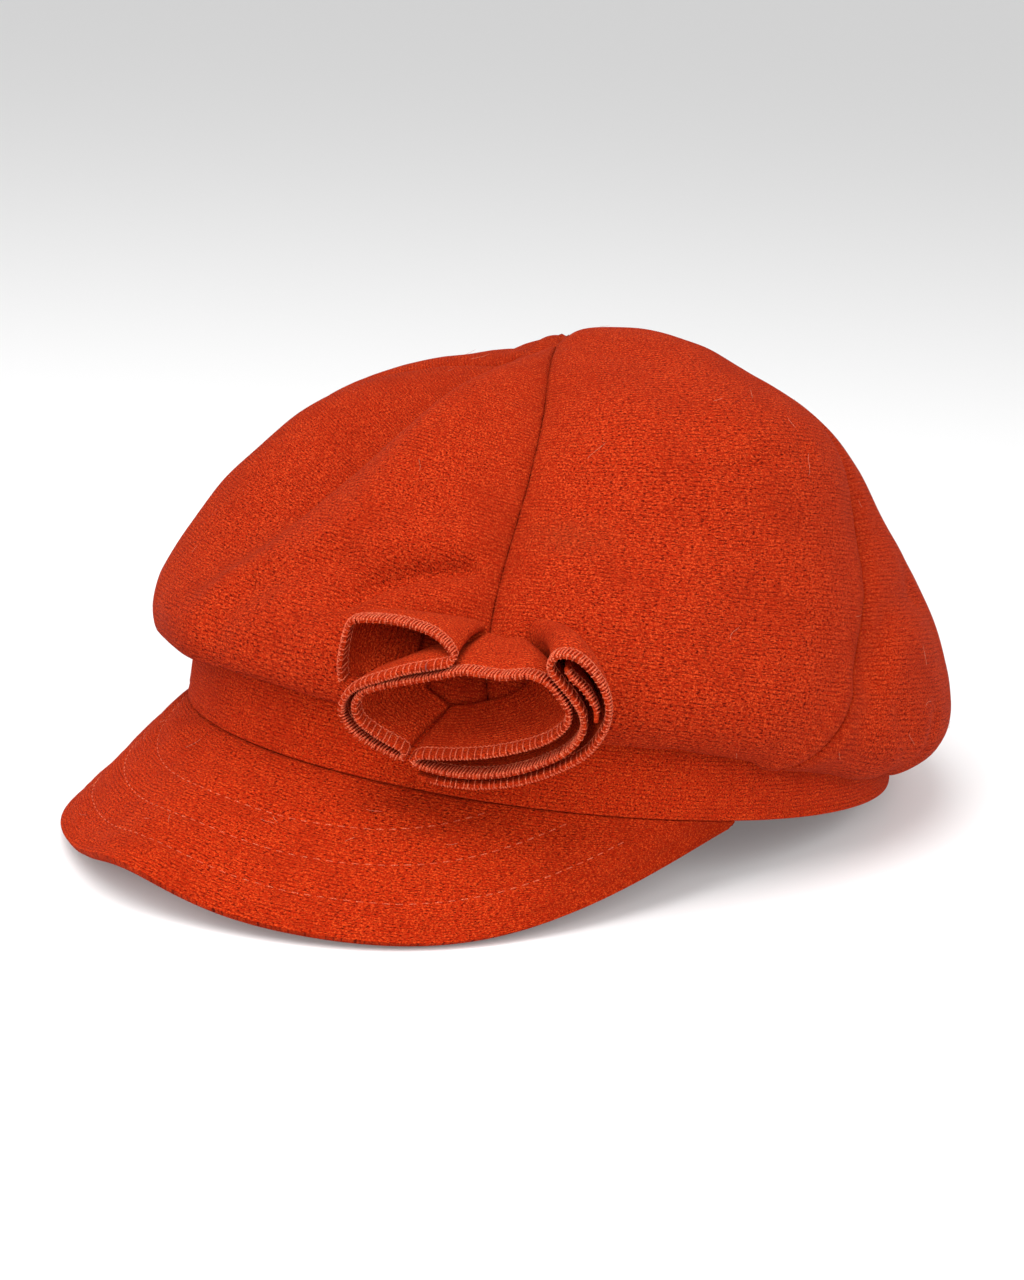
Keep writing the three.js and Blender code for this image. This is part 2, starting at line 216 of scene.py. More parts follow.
def only(piece):
    """Selects one object and nothing else."""
    bpy.ops.object.select_all(action="DESELECT")
    piece.select_set(True)
    bpy.context.view_layer.objects.active = piece


def read_points(piece):
    flat = np.empty(len(piece.data.vertices) * 3)
    piece.data.vertices.foreach_get("co", flat)
    return flat.reshape(-1, 3)


def write_points(piece, points):
    piece.data.vertices.foreach_set("co", np.asarray(points, dtype=float).ravel())
    piece.data.update()


def flat_grid(name, columns, rows):
    """A flat grid from 0 to 1 each way, with its cells counted across and along."""
    bpy.ops.object.select_all(action="DESELECT")
    bpy.ops.mesh.primitive_grid_add(x_subdivisions=columns, y_subdivisions=rows, size=1,
                                    location=(0.5, 0.5, 0))
    piece = bpy.context.object
    piece.name = name
    piece.data.name = name
    bpy.ops.object.transform_apply(location=True, rotation=True, scale=True)
    return piece


def give_uv(piece, width, length):
    """Stretches the grid's own UV map to real metres, so that a weave keeps its pitch."""
    layer = piece.data.uv_layers.active.data
    flat = np.empty(len(layer) * 2)
    layer.foreach_get("uv", flat)
    flat = flat.reshape(-1, 2) * (width * MM, length * MM)
    layer.foreach_set("uv", flat.ravel())


def apply_modifier(piece, kind, **settings):
    only(piece)
    modifier = piece.modifiers.new(kind.title(), kind)
    for key, value in settings.items():
        setattr(modifier, key, value)
    bpy.ops.object.modifier_apply(modifier=modifier.name)


def merge_points(piece, distance):
    only(piece)
    bpy.ops.object.mode_set(mode="EDIT")
    bpy.ops.mesh.select_all(action="SELECT")
    bpy.ops.mesh.remove_doubles(threshold=distance * MM)
    bpy.ops.object.mode_set(mode="OBJECT")


def round_cut_edges(piece, radius):
    """Rounds the two edges of a cloth's cut side, which meet their faces nearly square."""
    apply_modifier(piece, "BEVEL", width=radius * MM, segments=BEVEL_SEGMENTS, limit_method="ANGLE",
                   angle_limit=math.radians(BEVEL_ANGLE), use_clamp_overlap=True)


def shade(piece):
    only(piece)
    bpy.ops.object.shade_smooth()


def say(piece):
    triangles = sum(len(face.vertices) - 2 for face in piece.data.polygons)
    print(piece.name, triangles, "triangles")


# %% [markdown]
# ## The crown's shape
# The crown is full and soft. It rolls out over the band in a lip, is widest there or just above it,
# and is fullest at the wearer's left and back. Each level below gives how far it reaches, as a share
# of the band's own radius, and how high it stands above the rim, at the wearer's front, left, back
# and right.
# Against the plain solids of the frame, the lip lies a little closer to the band at the wearer's left
# and back, and hangs lower and further out at the wearer's right.

# %% Crown levels, seams and folds
CROWN_LEVELS = [
    {"name": "seam", "reach": (1.005, 1.005, 1.005, 1.005), "rise": (25.3, 25.3, 25.3, 25.3)},
    {"name": "under", "reach": (1.02, 1.014, 1.025, 1.045), "rise": (18, 19.6, 12.5, 9.5)},
    {"name": "lip", "reach": (1.07, 1.062, 1.085, 1.095), "rise": (18.5, 18.8, 4.6, 8)},
    {"name": "bulge", "reach": (1.06, 1.155, 1.15, 1.068), "rise": (27.5, 26.5, 14.5, 21)},
    {"name": "side", "reach": (0.955, 1.115, 1.1, 0.985), "rise": (41.5, 43.5, 30.5, 40)},
    {"name": "shoulder", "reach": (0.82, 0.985, 0.925, 0.8), "rise": (60, 64, 53.5, 58)},
    {"name": "slope", "reach": (0.605, 0.81, 0.655, 0.605), "rise": (77.5, 90, 77.5, 75)},
    {"name": "top", "reach": (0.285, 0.375, 0.46, 0.295), "rise": (93, 103.5, 95, 90.5)},
    {"name": "apex", "reach": (0, 0, 0, 0), "rise": (100.5, 100.5, 100.5, 100.5)},
]
TOP_LEVEL = len(CROWN_LEVELS) - 1
APEX_X, APEX_Y = -15, -1
# The cloth hangs a little lower at the wearer's left, from the lip up to the side
SAG_AZIMUTH, SAG_WIDTH, SAG_DROP = 106, 30, 8
SAG_WHOLE_FROM, SAG_FADE_FROM, SAG_FADE_SPAN = 1, 2, 3
CROWN_CLOTH = 1.5
GORE_PUFF = 4
PUFF_LOW, PUFF_LOW_SPAN, PUFF_HIGH_SPAN = 0.15, 0.25, 0.3

# Seams between the gores: azimuth from the wearer's front towards the left, at four even heights
SEAM_FIRST, SEAM_STEP = 0.25, 0.25
SEAMS = [
    {"name": "front_left", "azimuth": (35, 34.5, 38.5, 39)},
    {"name": "left", "azimuth": (80, 95, 116, 118)},
    {"name": "back_left", "azimuth": (150, 153, 158, 162)},
    {"name": "back_right", "azimuth": (212, 213, 214, 215)},
    {"name": "right", "azimuth": (270, 268, 266, 264)},
    {"name": "front_right", "azimuth": (320, 316, 316, 322)},
]
GORES = ["crown_panel_front_left", "crown_panel_back_left", "crown_panel_back",
         "crown_panel_back_right", "crown_panel_front_right", "crown_panel_front"]

# The big folds that run up the crown. Depth is inward, so a ridge has a negative depth.
FOLD_FIRST, FOLD_STEP, FOLD_FADE = 0.45, 0.15, 0.12
FOLDS = [
    {"name": "front_valley", "azimuth": (-12, -5, 1, 9), "depth": (4, 10, 13, 10), "right": 20, "left": 10},
    {"name": "front_ridge", "azimuth": (6, 14, 20, 29), "depth": (-2, -4, -5, -3), "right": 8, "left": 16},
]


def around(four, azimuth):
    """Blend of four values given at the wearer's front, left, back and right."""
    c, s = np.cos(np.radians(azimuth)), np.sin(np.radians(azimuth))
    lengthwise = np.where(c > 0, four[0], four[2])
    sideways = np.where(s > 0, four[1], four[3])
    return lengthwise * c * c + sideways * s * s


def turn_from(other, azimuth):
    """The turn from another azimuth to this one, between -180 and 180 degrees."""
    return (azimuth - other + 540) % 360 - 180


def band_radius(azimuth):
    s = np.sin(np.radians(azimuth)) / HALF_WIDTH
    c = np.cos(np.radians(azimuth)) / HALF_LENGTH
    return 1 / np.sqrt(s * s + c * c)


def ring(azimuth, radius, height):
    """Points round the head."""
    x, y = radius * np.sin(np.radians(azimuth)), -radius * np.cos(np.radians(azimuth))
    return np.stack([x, y, height], axis=-1)


def crown_base(azimuth, level):
    """The crown's plain outer form, before its seams and folds."""
    i = np.clip(np.floor(level).astype(int), 0, TOP_LEVEL - 1)
    each = np.arange(len(i))
    read = {}
    for key, ghost in (("reach", -1), ("rise", 1)):
        rows = [around(row[key], azimuth) for row in CROWN_LEVELS]
        rows = np.stack([rows[0], *rows, ghost * rows[-2]])
        read[key] = catmull_rom(*(rows[i + k, each] for k in range(4)), level - i)
    from_sag = turn_from(SAG_AZIMUTH, azimuth) / SAG_WIDTH
    sag = SAG_DROP * np.exp(-(from_sag ** 2)) * smooth(level / SAG_WHOLE_FROM)
    sag = sag * (1 - smooth((level - SAG_FADE_FROM) / SAG_FADE_SPAN))
    radius = band_radius(azimuth) * read["reach"]
    lean = smooth(level / TOP_LEVEL)
    x = radius * np.sin(np.radians(azimuth)) + APEX_X * lean
    y = -radius * np.cos(np.radians(azimuth)) + APEX_Y * lean
    return np.stack([x, y, read["rise"] - sag], axis=-1)


def seam_azimuth(index, height):
    turns = index // len(SEAMS)
    row = SEAMS[index % len(SEAMS)]["azimuth"]
    return read_row(row, (height - SEAM_FIRST) / SEAM_STEP) + 360 * turns


def fold_depth(azimuth, height, radius):
    last_step = FOLD_FIRST + 3 * FOLD_STEP
    rising = smooth((height - FOLD_FIRST + FOLD_FADE) / FOLD_FADE)
    falling = smooth((1 - height) / (1 - last_step))
    place = (height - FOLD_FIRST) / FOLD_STEP
    total = 0
    for fold in FOLDS:
        turn = turn_from(read_row(fold["azimuth"], place), azimuth)
        away = np.radians(turn) * radius
        width = np.where(away < 0, fold["right"], fold["left"])
        total = total + read_row(fold["depth"], place) * np.exp(-((away / width) ** 2))
    return total * rising * falling


# %% [markdown]
# ## Small creases and dents
# Beside the big folds the cloth has small soft creases: above the rosette, where the strip pulls the
# gore in, where the big fold runs out, beside the left seam, near the top, here and there at the back
# and the right, and low down where the crown curls under. Each is a line over the crown through a few
# places, given as azimuth and height, with its half width and its depth. A swell is a crease with a
# negative depth.

# %% Small creases
PROBE_DEGREES, PROBE_LEVELS = 0.5, 0.05
DENT_SIZE, DENT_DEPTH = 24, 0.9
RIPPLE_SIZE, RIPPLE_DEPTH, RIPPLE_SHIFT = 8, 0.22, 9.5
CREASES = [
    {"at": [(azimuth, 0.17) for azimuth in (-95, -50, 0, 60, 110, 150)], "width": 2.2, "depth": 1.6},
    {"at": [(9, 0.92), (5, 0.83), (2, 0.77), (-1, 0.71)], "width": 1.7, "depth": 2.4},
    {"at": [(79, 0.25), (84, 0.33), (91, 0.43)], "width": 6, "depth": -2.2},
    {"at": [(101, 0.41), (106, 0.345)], "width": 3.6, "depth": 1.1},
    {"at": [(113, 0.4), (112, 0.33), (107, 0.285)], "width": 3.4, "depth": 1.2},
    {"at": [(9, 0.92), (5, 0.83), (1, 0.75), (-3, 0.66), (-5, 0.6)], "width": 3.2, "depth": 1.8},
    {"at": [(14.5, 0.455), (18.7, 0.5), (23.5, 0.529), (30, 0.55)], "width": 2.2, "depth": 2.7},
    {"at": [(16, 0.54), (23, 0.57), (30, 0.59)], "width": 4.5, "depth": -1.6},
    {"at": [(17, 0.44), (24.6, 0.48), (31, 0.51)], "width": 3.2, "depth": -0.8},
    {"at": [(12, 0.53), (4, 0.47), (-1.5, 0.434), (-4, 0.36)], "width": 4.5, "depth": 2.2},
    {"at": [(12.7, 0.497), (9, 0.431), (6.4, 0.356)], "width": 6, "depth": 1.3},
    {"at": [(0, 0.5), (-8, 0.42)], "width": 5, "depth": -1.2},
    {"at": [(72, 0.69), (82, 0.702), (92, 0.711)], "width": 2.4, "depth": 0.9},
    {"at": [(118, 0.563), (104, 0.532), (96.7, 0.483), (92, 0.41)], "width": 5, "depth": 1.6},
    {"at": [(55, 0.58), (65, 0.635)], "width": 7, "depth": 0.7},
    {"at": [(65, 0.49), (73, 0.545)], "width": 6, "depth": 0.7},
    {"at": [(61, 0.84), (70, 0.786), (68, 0.728)], "width": 6, "depth": 0.7},
    {"at": [(60, 0.36), (72, 0.37), (86, 0.36)], "width": 4, "depth": 0.8},
    {"at": [(138, 0.5), (147, 0.58)], "width": 6, "depth": 1.2},
    {"at": [(172, 0.6), (186, 0.68)], "width": 7, "depth": 1.4},
    {"at": [(200, 0.44), (222, 0.5)], "width": 5, "depth": 1.3},
    {"at": [(246, 0.56), (262, 0.6)], "width": 5, "depth": 1.4},
    {"at": [(288, 0.5), (304, 0.58)], "width": 6, "depth": 1.2},
]

LENGTH_AZIMUTH, LENGTH_POINTS = 40.0, 400
level_line = np.linspace(0, TOP_LEVEL, LENGTH_POINTS)
level_lengths = lengths_along(crown_base(np.full(LENGTH_POINTS, LENGTH_AZIMUTH), level_line))


def away_from_line(points, line):
    """How far each point lies from a line of straight stretches."""
    nearest = np.full(len(points), np.inf)
    for start, end in zip(line[:-1], line[1:]):
        run = end - start
        part = np.clip((points - start) @ run / (run @ run), 0, 1)
        nearest = np.minimum(nearest, np.linalg.norm(points - start - part[:, None] * run, axis=-1))
    return nearest


def crease_depth(here):
    total = 0
    for crease in CREASES:
        azimuth, height = np.array(crease["at"], dtype=float).T
        away = away_from_line(here, crown_base(azimuth, height * TOP_LEVEL))
        total = total + crease["depth"] * np.exp(-((away / crease["width"]) ** 2))
    return total


# %% [markdown]
# A seam in thick cloth is a narrow groove: both edges turn inward and close tightly. The stitches pull
# the cloth into small puckers beside it, and the turned-in allowance lifts it a little further out.

# %% The crown's outer face
SEAM_DEPTH, SEAM_HALF_WIDTH, SEAM_SQUARENESS = 0.75, 0.3, 1.4
SEAM_WANDER, SEAM_WANDER_PITCH, SEAM_WANDER_SHIFT = 0.2, 3.2, 8.1
NEXT_SEAM = 31.0
SEAM_DIP, SEAM_DIP_WIDTH = 0.16, 1.6
ALLOWANCE_LIFT, ALLOWANCE_AT, ALLOWANCE_WIDTH, ALLOWANCE_FADE_WIDTH = 0.18, 5.0, 2.6, 40
PUCKER_DEPTH, PUCKER_PITCH, PUCKER_REACH = 0.28, 6.0, 6.5
FINE_PUCKER_DEPTH, FINE_PUCKER_RATIO, FINE_PUCKER_SHIFT = 0.5, 2.3, 4.7
SEAM_FADE_WIDTH = 20
STITCH_PITCH, STITCH_DEPTH = 2.6, 0.12
CALM_BELOW = 0.2


def crown_frame(gore, share, level):
    """Place, outward direction, azimuth and radius of points of a gore, before its details."""
    height = level / TOP_LEVEL
    start, end = seam_azimuth(gore, height), seam_azimuth(gore + 1, height)
    azimuth = start + (end - start) * share
    here = crown_base(azimuth, level)
    ahead = crown_base(azimuth + PROBE_DEGREES, level) - crown_base(azimuth - PROBE_DEGREES, level)
    above = crown_base(azimuth, np.minimum(level + PROBE_LEVELS, TOP_LEVEL))
    below = crown_base(azimuth, np.maximum(level - PROBE_LEVELS, 0))
    out = unit(np.cross(ahead, above - below))
    lean = smooth(height)
    radius = np.hypot(here[..., 0] - APEX_X * lean, here[..., 1] - APEX_Y * lean)
    return here, out, azimuth, radius, np.radians(end - start) * radius


def crown_form(gore, share, level):
    """Outer face of the crown with its fullness, folds and dents, as the cloth lies."""
    here, out, azimuth, radius, _ = crown_frame(gore, share, level)
    height = level / TOP_LEVEL
    sine = np.abs(np.sin(np.pi * share))
    low = np.clip((height - PUFF_LOW) / PUFF_LOW_SPAN, 0, 1)
    high = np.clip((1 - height) / PUFF_HIGH_SPAN, 0, 1)
    puff = GORE_PUFF * (2 * sine - sine * sine) * low * high
    depth = fold_depth(azimuth, height, radius) + crease_depth(here)
    calm = smooth(height / CALM_BELOW)
    dents = DENT_DEPTH * soft_noise(here, DENT_SIZE) * calm
    ripples = RIPPLE_DEPTH * soft_noise(here, RIPPLE_SIZE, RIPPLE_SHIFT) * calm
    return here + out * (puff - depth + dents + ripples)[..., None]


def seam_relief(gore, share, level):
    """How far the outer face is moved out by the seams at both sides of a gore."""
    _, _, _, _, width = crown_frame(gore, share, level)
    run = np.interp(level, level_line, level_lengths)
    total, groove = 0, 0
    nearest = np.minimum(share, 1 - share) * width
    for seam, distance, side in ((gore, share * width, 1), (gore + 1, (1 - share) * width, -1)):
        spot = np.stack([run, np.full_like(run, NEXT_SEAM * (seam % len(SEAMS))), run * 0], axis=-1)
        wander = SEAM_WANDER * soft_noise(spot, SEAM_WANDER_PITCH, SEAM_WANDER_SHIFT)
        off_line = np.abs(side * distance - wander) / SEAM_HALF_WIDTH
        groove = groove + np.exp(-(off_line ** SEAM_SQUARENESS))
        fine = soft_noise(spot, PUCKER_PITCH / FINE_PUCKER_RATIO, FINE_PUCKER_SHIFT)
        pucker = soft_noise(spot, PUCKER_PITCH) + FINE_PUCKER_DEPTH * fine
        fade = np.exp(-((distance / PUCKER_REACH) ** 2))
        total = total - PUCKER_DEPTH * pucker * fade
    stitch = 1 + STITCH_DEPTH / SEAM_DEPTH * np.cos(2 * np.pi * run / STITCH_PITCH)
    total = total - SEAM_DEPTH * stitch * np.minimum(groove, 1)
    total = total - SEAM_DIP * np.exp(-((nearest / SEAM_DIP_WIDTH) ** 2))
    lift = np.exp(-(((nearest - ALLOWANCE_AT) / ALLOWANCE_WIDTH) ** 2))
    lift = lift * np.clip(width / ALLOWANCE_FADE_WIDTH, 0, 1)
    return (total + ALLOWANCE_LIFT * lift) * smooth(width / SEAM_FADE_WIDTH)


# %% [markdown]
# ## The six gores
# Each gore is one grid, with its columns crowded towards the seams, where the detail is. Its lowest
# row is tucked into the band's top edge, as the real cloth is sewn into the band. The gore tips
# meet at the apex, so the last row is merged into one point.

# %% Gores
GORE_COLUMNS, GORE_ROWS = 84, 168
EDGE_CROWDING = 0.82
TUCK_REACH, TUCK_RISE = 0.978, 22.5
MERGE_WITHIN = 0.02
WIDTH_LEVEL, WIDTH_POINTS = 3.0, 50

gore_levels = np.interp(np.linspace(0, level_lengths[-1], GORE_ROWS), level_lengths, level_line)


def gore_share(across):
    """Crowds the columns towards both seams."""
    return across - EDGE_CROWDING * np.sin(2 * np.pi * across) / (2 * np.pi)


def gore_level(along):
    """The level of a grid row. The first row is the tucked one and shares the next row's level."""
    row = np.rint(along * GORE_ROWS).astype(int)
    return gore_levels[np.maximum(0, row - 1)]


def tucked_edge(gore, share):
    at_rim = np.zeros_like(share)
    azimuth = seam_azimuth(gore, at_rim) * (1 - share) + seam_azimuth(gore + 1, at_rim) * share
    return ring(azimuth, band_radius(azimuth) * TUCK_REACH, np.full_like(azimuth, TUCK_RISE))


def make_gore(gore):
    piece = flat_grid(GORES[gore] + "_cloth", GORE_COLUMNS, GORE_ROWS)
    flat = read_points(piece)
    share, level = gore_share(flat[:, 0]), gore_level(flat[:, 1])
    tucked = flat[:, 1] < 0.5 / GORE_ROWS
    form = crown_form(gore, share, level)
    form[tucked] = tucked_edge(gore, share[tucked])
    write_points(piece, stand(form))
    middle = crown_form(gore, np.linspace(0, 1, WIDTH_POINTS), np.full(WIDTH_POINTS, WIDTH_LEVEL))
    give_uv(piece, lengths_along(middle)[-1], level_lengths[-1])
    apply_modifier(piece, "SOLIDIFY", thickness=CROWN_CLOTH * MM, offset=-1, use_even_offset=False)
    points = read_points(piece)
    count = len(flat)
    _, out, _, _, _ = crown_frame(gore, share, level)
    relief = np.where(tucked, 0, seam_relief(gore, share, level))
    points[:count] = stand(form + out * relief[:, None])
    at_apex = level == TOP_LEVEL
    apex = stand(np.array([APEX_X, APEX_Y, CROWN_LEVELS[-1]["rise"][0]]))
    points[:count][at_apex] = apex
    points[count:2 * count][at_apex] = apex - (0, 0, CROWN_CLOTH * MM)
    write_points(piece, points)
    merge_points(piece, MERGE_WITHIN)
    shade(piece)
    say(piece)
    return piece


gores = [make_gore(gore) for gore in range(len(GORES))]

# %% [markdown]
# ## The head band
# The band is one strip of doubled cloth around the head, joined at the back. Its lower edge is the
# fold of the cloth, so it is round, and a row of stitches runs just above it. The crown's edge is
# sewn to its top. A grid is bent into the ring, closed, given its thickness and rounded.

# %% Band
BAND_CLOTH, BAND_ROUNDING = 2.6, 0.45
BAND_COLUMNS, BAND_ROWS = 360, 40
BAND_WAVE_SIZE, BAND_WAVE, BAND_WAVE_SHIFT = 30, 0.5, 3.3
BAND_RIPPLE_SHIFT = 1.7
BAND_STITCH_HEIGHT, BAND_STITCH_WIDTH, BAND_STITCH_DEPTH = 2.6, 0.55, 0.28
BAND_JOIN_WIDTH, BAND_JOIN_DEPTH = 0.7, 0.9


def band_out(azimuth):
    s, c = np.sin(np.radians(azimuth)), np.cos(np.radians(azimuth))
    return unit(np.stack([s / HALF_WIDTH, -c / HALF_LENGTH, 0 * s], axis=-1))


def band_relief(azimuth, height):
    place = ring(azimuth, band_radius(azimuth), height)
    wave = BAND_WAVE * soft_noise(place, BAND_WAVE_SIZE, BAND_WAVE_SHIFT)
    wave = wave + RIPPLE_DEPTH * soft_noise(place, RIPPLE_SIZE, BAND_RIPPLE_SHIFT)
    stitch = np.exp(-(((height - BAND_STITCH_HEIGHT) / BAND_STITCH_WIDTH) ** 2)) * BAND_STITCH_DEPTH
    turn = (azimuth % 360) - 180
    join = np.exp(-((np.radians(turn) * HALF_LENGTH / BAND_JOIN_WIDTH) ** 2)) * BAND_JOIN_DEPTH
    return wave * np.sin(np.pi * np.clip(height / BAND_HEIGHT, 0, 1)) - stitch - join


def make_band():
    piece = flat_grid("band_cloth", BAND_COLUMNS, BAND_ROWS)
    flat = read_points(piece)
    azimuth, height = 180 + 360 * flat[:, 0], BAND_HEIGHT * flat[:, 1]
    form = ring(azimuth, band_radius(azimuth), height)
    write_points(piece, stand(form + band_out(azimuth) * band_relief(azimuth, height)[:, None]))
    give_uv(piece, 2 * math.pi * math.sqrt((HALF_WIDTH ** 2 + HALF_LENGTH ** 2) / 2), BAND_HEIGHT)
    merge_points(piece, MERGE_WITHIN)
    apply_modifier(piece, "SOLIDIFY", thickness=BAND_CLOTH * MM, offset=-1, use_even_offset=True)
    round_cut_edges(piece, BAND_CLOTH * BAND_ROUNDING)
    shade(piece)
    say(piece)
    return piece


band = make_band()

# %% [markdown]
# ## The peak
# The peak is two layers of cloth, quilted with three rows of stitches that run parallel to its outer
# edge. It springs from the rim at the front and slopes down. Its two layers are seamed inside out at
# the outer edge and turned, so the edge is rolled, with a shallow line inside it.

# %% Peak shape
PEAK_ROOT_AZIMUTH, PEAK_END_AZIMUTH = 78, 76.2
PEAK_LENGTH, PEAK_OUTLINE_POWER, PEAK_OUTLINE_FILL = 45.5, 7, 1.5
PEAK_SLOPE_FRONT, PEAK_SLOPE_SIDE_MORE, PEAK_SLOPE_SPREAD = 31, 8.2, 0.23
PEAK_TUCK = 2.2
PEAK_TOP_CLOTH, PEAK_UNDER_CLOTH, PEAK_ROUNDING = 1.5, 1.2, 0.46
PEAK_TOP_FACE = 0.3
PEAK_COLUMNS, PEAK_ROWS = 220, 64
PEAK_CLOTH_WIDTH = 200
OUTLINE_POINTS = 400
STITCH_ROWS = [{"from_edge": 9.5}, {"from_edge": 19}, {"from_edge": 28.5}]
ROW_DEPTH, ROW_WIDTH = 0.3, 0.8
QUILT_PUFF, QUILT_FADE = 0.25, 8
PEAK_WAVE_SIZE, PEAK_WAVE, PEAK_WAVE_SHIFT = 15, 0.4, 2.1
PEAK_RIPPLE_SIZE, PEAK_RIPPLE, PEAK_RIPPLE_SHIFT = 5, 0.16, 7.3
CALM_AT_EDGE, CALM_AT_ROOT = 4, 0.08
EDGE_ROLL_AT, EDGE_ROLL_WIDTH, EDGE_ROLL_DEPTH = 2.6, 0.9, 0.4


def peak_reach(azimuth):
    """Length of the peak along its slope at an azimuth."""
    across = np.minimum(1, np.abs(azimuth) / PEAK_ROOT_AZIMUTH)
    return PEAK_LENGTH * (1 - across ** PEAK_OUTLINE_POWER) ** PEAK_OUTLINE_FILL


def peak_middle(azimuth, share):
    """Middle of the peak's layers. A share below 0 lies tucked under the band."""
    s, c = np.sin(np.radians(azimuth)), np.cos(np.radians(azimuth))
    root = np.stack([HALF_WIDTH * s, -HALF_LENGTH * c, 0 * s], axis=-1)
    inward = unit(np.stack([-s / HALF_WIDTH, c / HALF_LENGTH, 0 * s], axis=-1))
    to_side = 1 - np.exp(-((s / PEAK_SLOPE_SPREAD) ** 2))
    slope = np.radians(PEAK_SLOPE_FRONT + PEAK_SLOPE_SIDE_MORE * to_side)
    length = peak_reach(azimuth) * np.maximum(share, 0)
    down = np.stack([0 * s, -length * np.cos(slope), -length * np.sin(slope)], axis=-1)
    return root + down + inward * (PEAK_TUCK * np.maximum(-share, 0))[..., None]


def peak_up(azimuth, share):
    """The direction that the peak's upper face looks in."""
    share = np.maximum(share, PROBE_LEVELS)
    ahead = peak_middle(azimuth + PROBE_DEGREES, share) - peak_middle(azimuth - PROBE_DEGREES, share)
    rootward = peak_middle(azimuth, share - PROBE_LEVELS) - peak_middle(azimuth, share)
    return unit(np.cross(ahead, rootward))


outline_azimuth = np.linspace(-PEAK_ROOT_AZIMUTH, PEAK_ROOT_AZIMUTH, OUTLINE_POINTS)
peak_outline = peak_middle(outline_azimuth, np.ones(OUTLINE_POINTS))


def peak_from_edge(place):
    """How far each place on the peak lies from its outer edge."""
    square = (place ** 2).sum(-1)[:, None] + (peak_outline ** 2).sum(-1) - 2 * place @ peak_outline.T
    return np.sqrt(np.maximum(square.min(axis=1), 0))


def peak_relief(azimuth, share):
    """How far the peak's upper face is moved out by its waves, quilting and rolled edge."""
    place = peak_middle(azimuth, share)
    from_edge = peak_from_edge(place)
    soft = PEAK_WAVE * soft_noise(place, PEAK_WAVE_SIZE, PEAK_WAVE_SHIFT)
    soft = soft + PEAK_RIPPLE * soft_noise(place, PEAK_RIPPLE_SIZE, PEAK_RIPPLE_SHIFT)
    total = soft * smooth(from_edge / CALM_AT_EDGE) * smooth(share / CALM_AT_ROOT)
    puff_at = np.cos(2 * np.pi * from_edge / STITCH_ROWS[0]["from_edge"])
    total = total - QUILT_PUFF * 0.5 * puff_at * smooth(from_edge / QUILT_FADE)
    for row in STITCH_ROWS:
        total = total - ROW_DEPTH * np.exp(-(((from_edge - row["from_edge"]) / ROW_WIDTH) ** 2))
    total = total - EDGE_ROLL_DEPTH * np.exp(-(((from_edge - EDGE_ROLL_AT) / EDGE_ROLL_WIDTH) ** 2))
    return np.where(share > 0, total, 0)


# %% Peak layers
UNDER_SET_BACK = 0.012


def peak_grid(name, upper, cloth, lower_by, shrink):
    """One layer of the peak. Its upper face lies lower_by under the middle surface."""
    piece = flat_grid(name, PEAK_COLUMNS, PEAK_ROWS)
    flat = read_points(piece)
    azimuth = PEAK_END_AZIMUTH * np.sin(np.pi / 2 * (2 * flat[:, 0] - 1))
    outward = 1 - flat[:, 1] * PEAK_ROWS / (PEAK_ROWS - 1)
    share = np.where(flat[:, 1] > 1 - 0.5 / PEAK_ROWS, -1, outward * (1 - shrink))
    up = peak_up(azimuth, share)
    form = peak_middle(azimuth, share) - up * lower_by
    if upper:
        form = form + up * peak_relief(azimuth, share)[:, None]
    write_points(piece, stand(form))
    give_uv(piece, PEAK_CLOTH_WIDTH, PEAK_LENGTH)
    apply_modifier(piece, "SOLIDIFY", thickness=cloth * MM, offset=-1, use_even_offset=False)
    round_cut_edges(piece, cloth * PEAK_ROUNDING)
    shade(piece)
    say(piece)
    return piece


peak_top = peak_grid("peak_top_cloth", True, PEAK_TOP_CLOTH, PEAK_TOP_FACE, 0)
peak_under = peak_grid("peak_under_cloth", False, PEAK_UNDER_CLOTH, PEAK_TOP_FACE + PEAK_TOP_CLOTH,
                       UNDER_SET_BACK)

# %% [markdown]
# ## The rosette
# The rosette is one strip of the same cloth, about as wide as a thumb. Its free edge is overlocked
# and its other edge is gathered tight and sewn to the crown. The free edge is traced as it is seen
# from straight in front of the rosette: x to the viewer's right, y up, and how far it stands out.
# From each point of that edge the cloth runs back to the gathered root in a soft bend.

# %% Rosette tables
ROSETTE_CLOTH = 1.0
ROSETTE_AZIMUTH, ROSETTE_LEVEL = 34.6, 3.71
ROSETTE_FACE_AZIMUTH, ROSETTE_DROOP, ROSETTE_ROLL = 35, 22, 8
ROSETTE_DEPTH, ROSETTE_TRACE_SCALE = 26, 0.91
ROSETTE_GATHER, ROSETTE_BEND, CLEAR_OF_CROWN = 0.5, 0.45, 1.0
ROSETTE_ROOT_DROP = 2.5
SIGHTLINE = 60
UPPER_LOOP = [
    (-32.8, -4.4, -9), (-33.3, -0.5, -10), (-32.6, 4, -10.8), (-31.3, 9, -12), (-29.6, 11.4, -12),
    (-25, 12, -12), (-19.3, 12, -11.5), (-13.8, 11.8, -10), (-9.1, 11.2, -8), (-5.4, 10.1, -5),
    (-3.3, 8.8, -2), (-4.2, 7.7, -1), (-8, 7.1, 0), (-14, 5.6, 0), (-20, 3.4, 0), (-25.7, 1, 0),
    (-29.5, -2, 0), (-31.1, -6.4, 0), (-29.8, -10.8, 0), (-25.7, -14.7, 0), (-20.5, -17.6, 0),
    (-17, -19, 0),
]
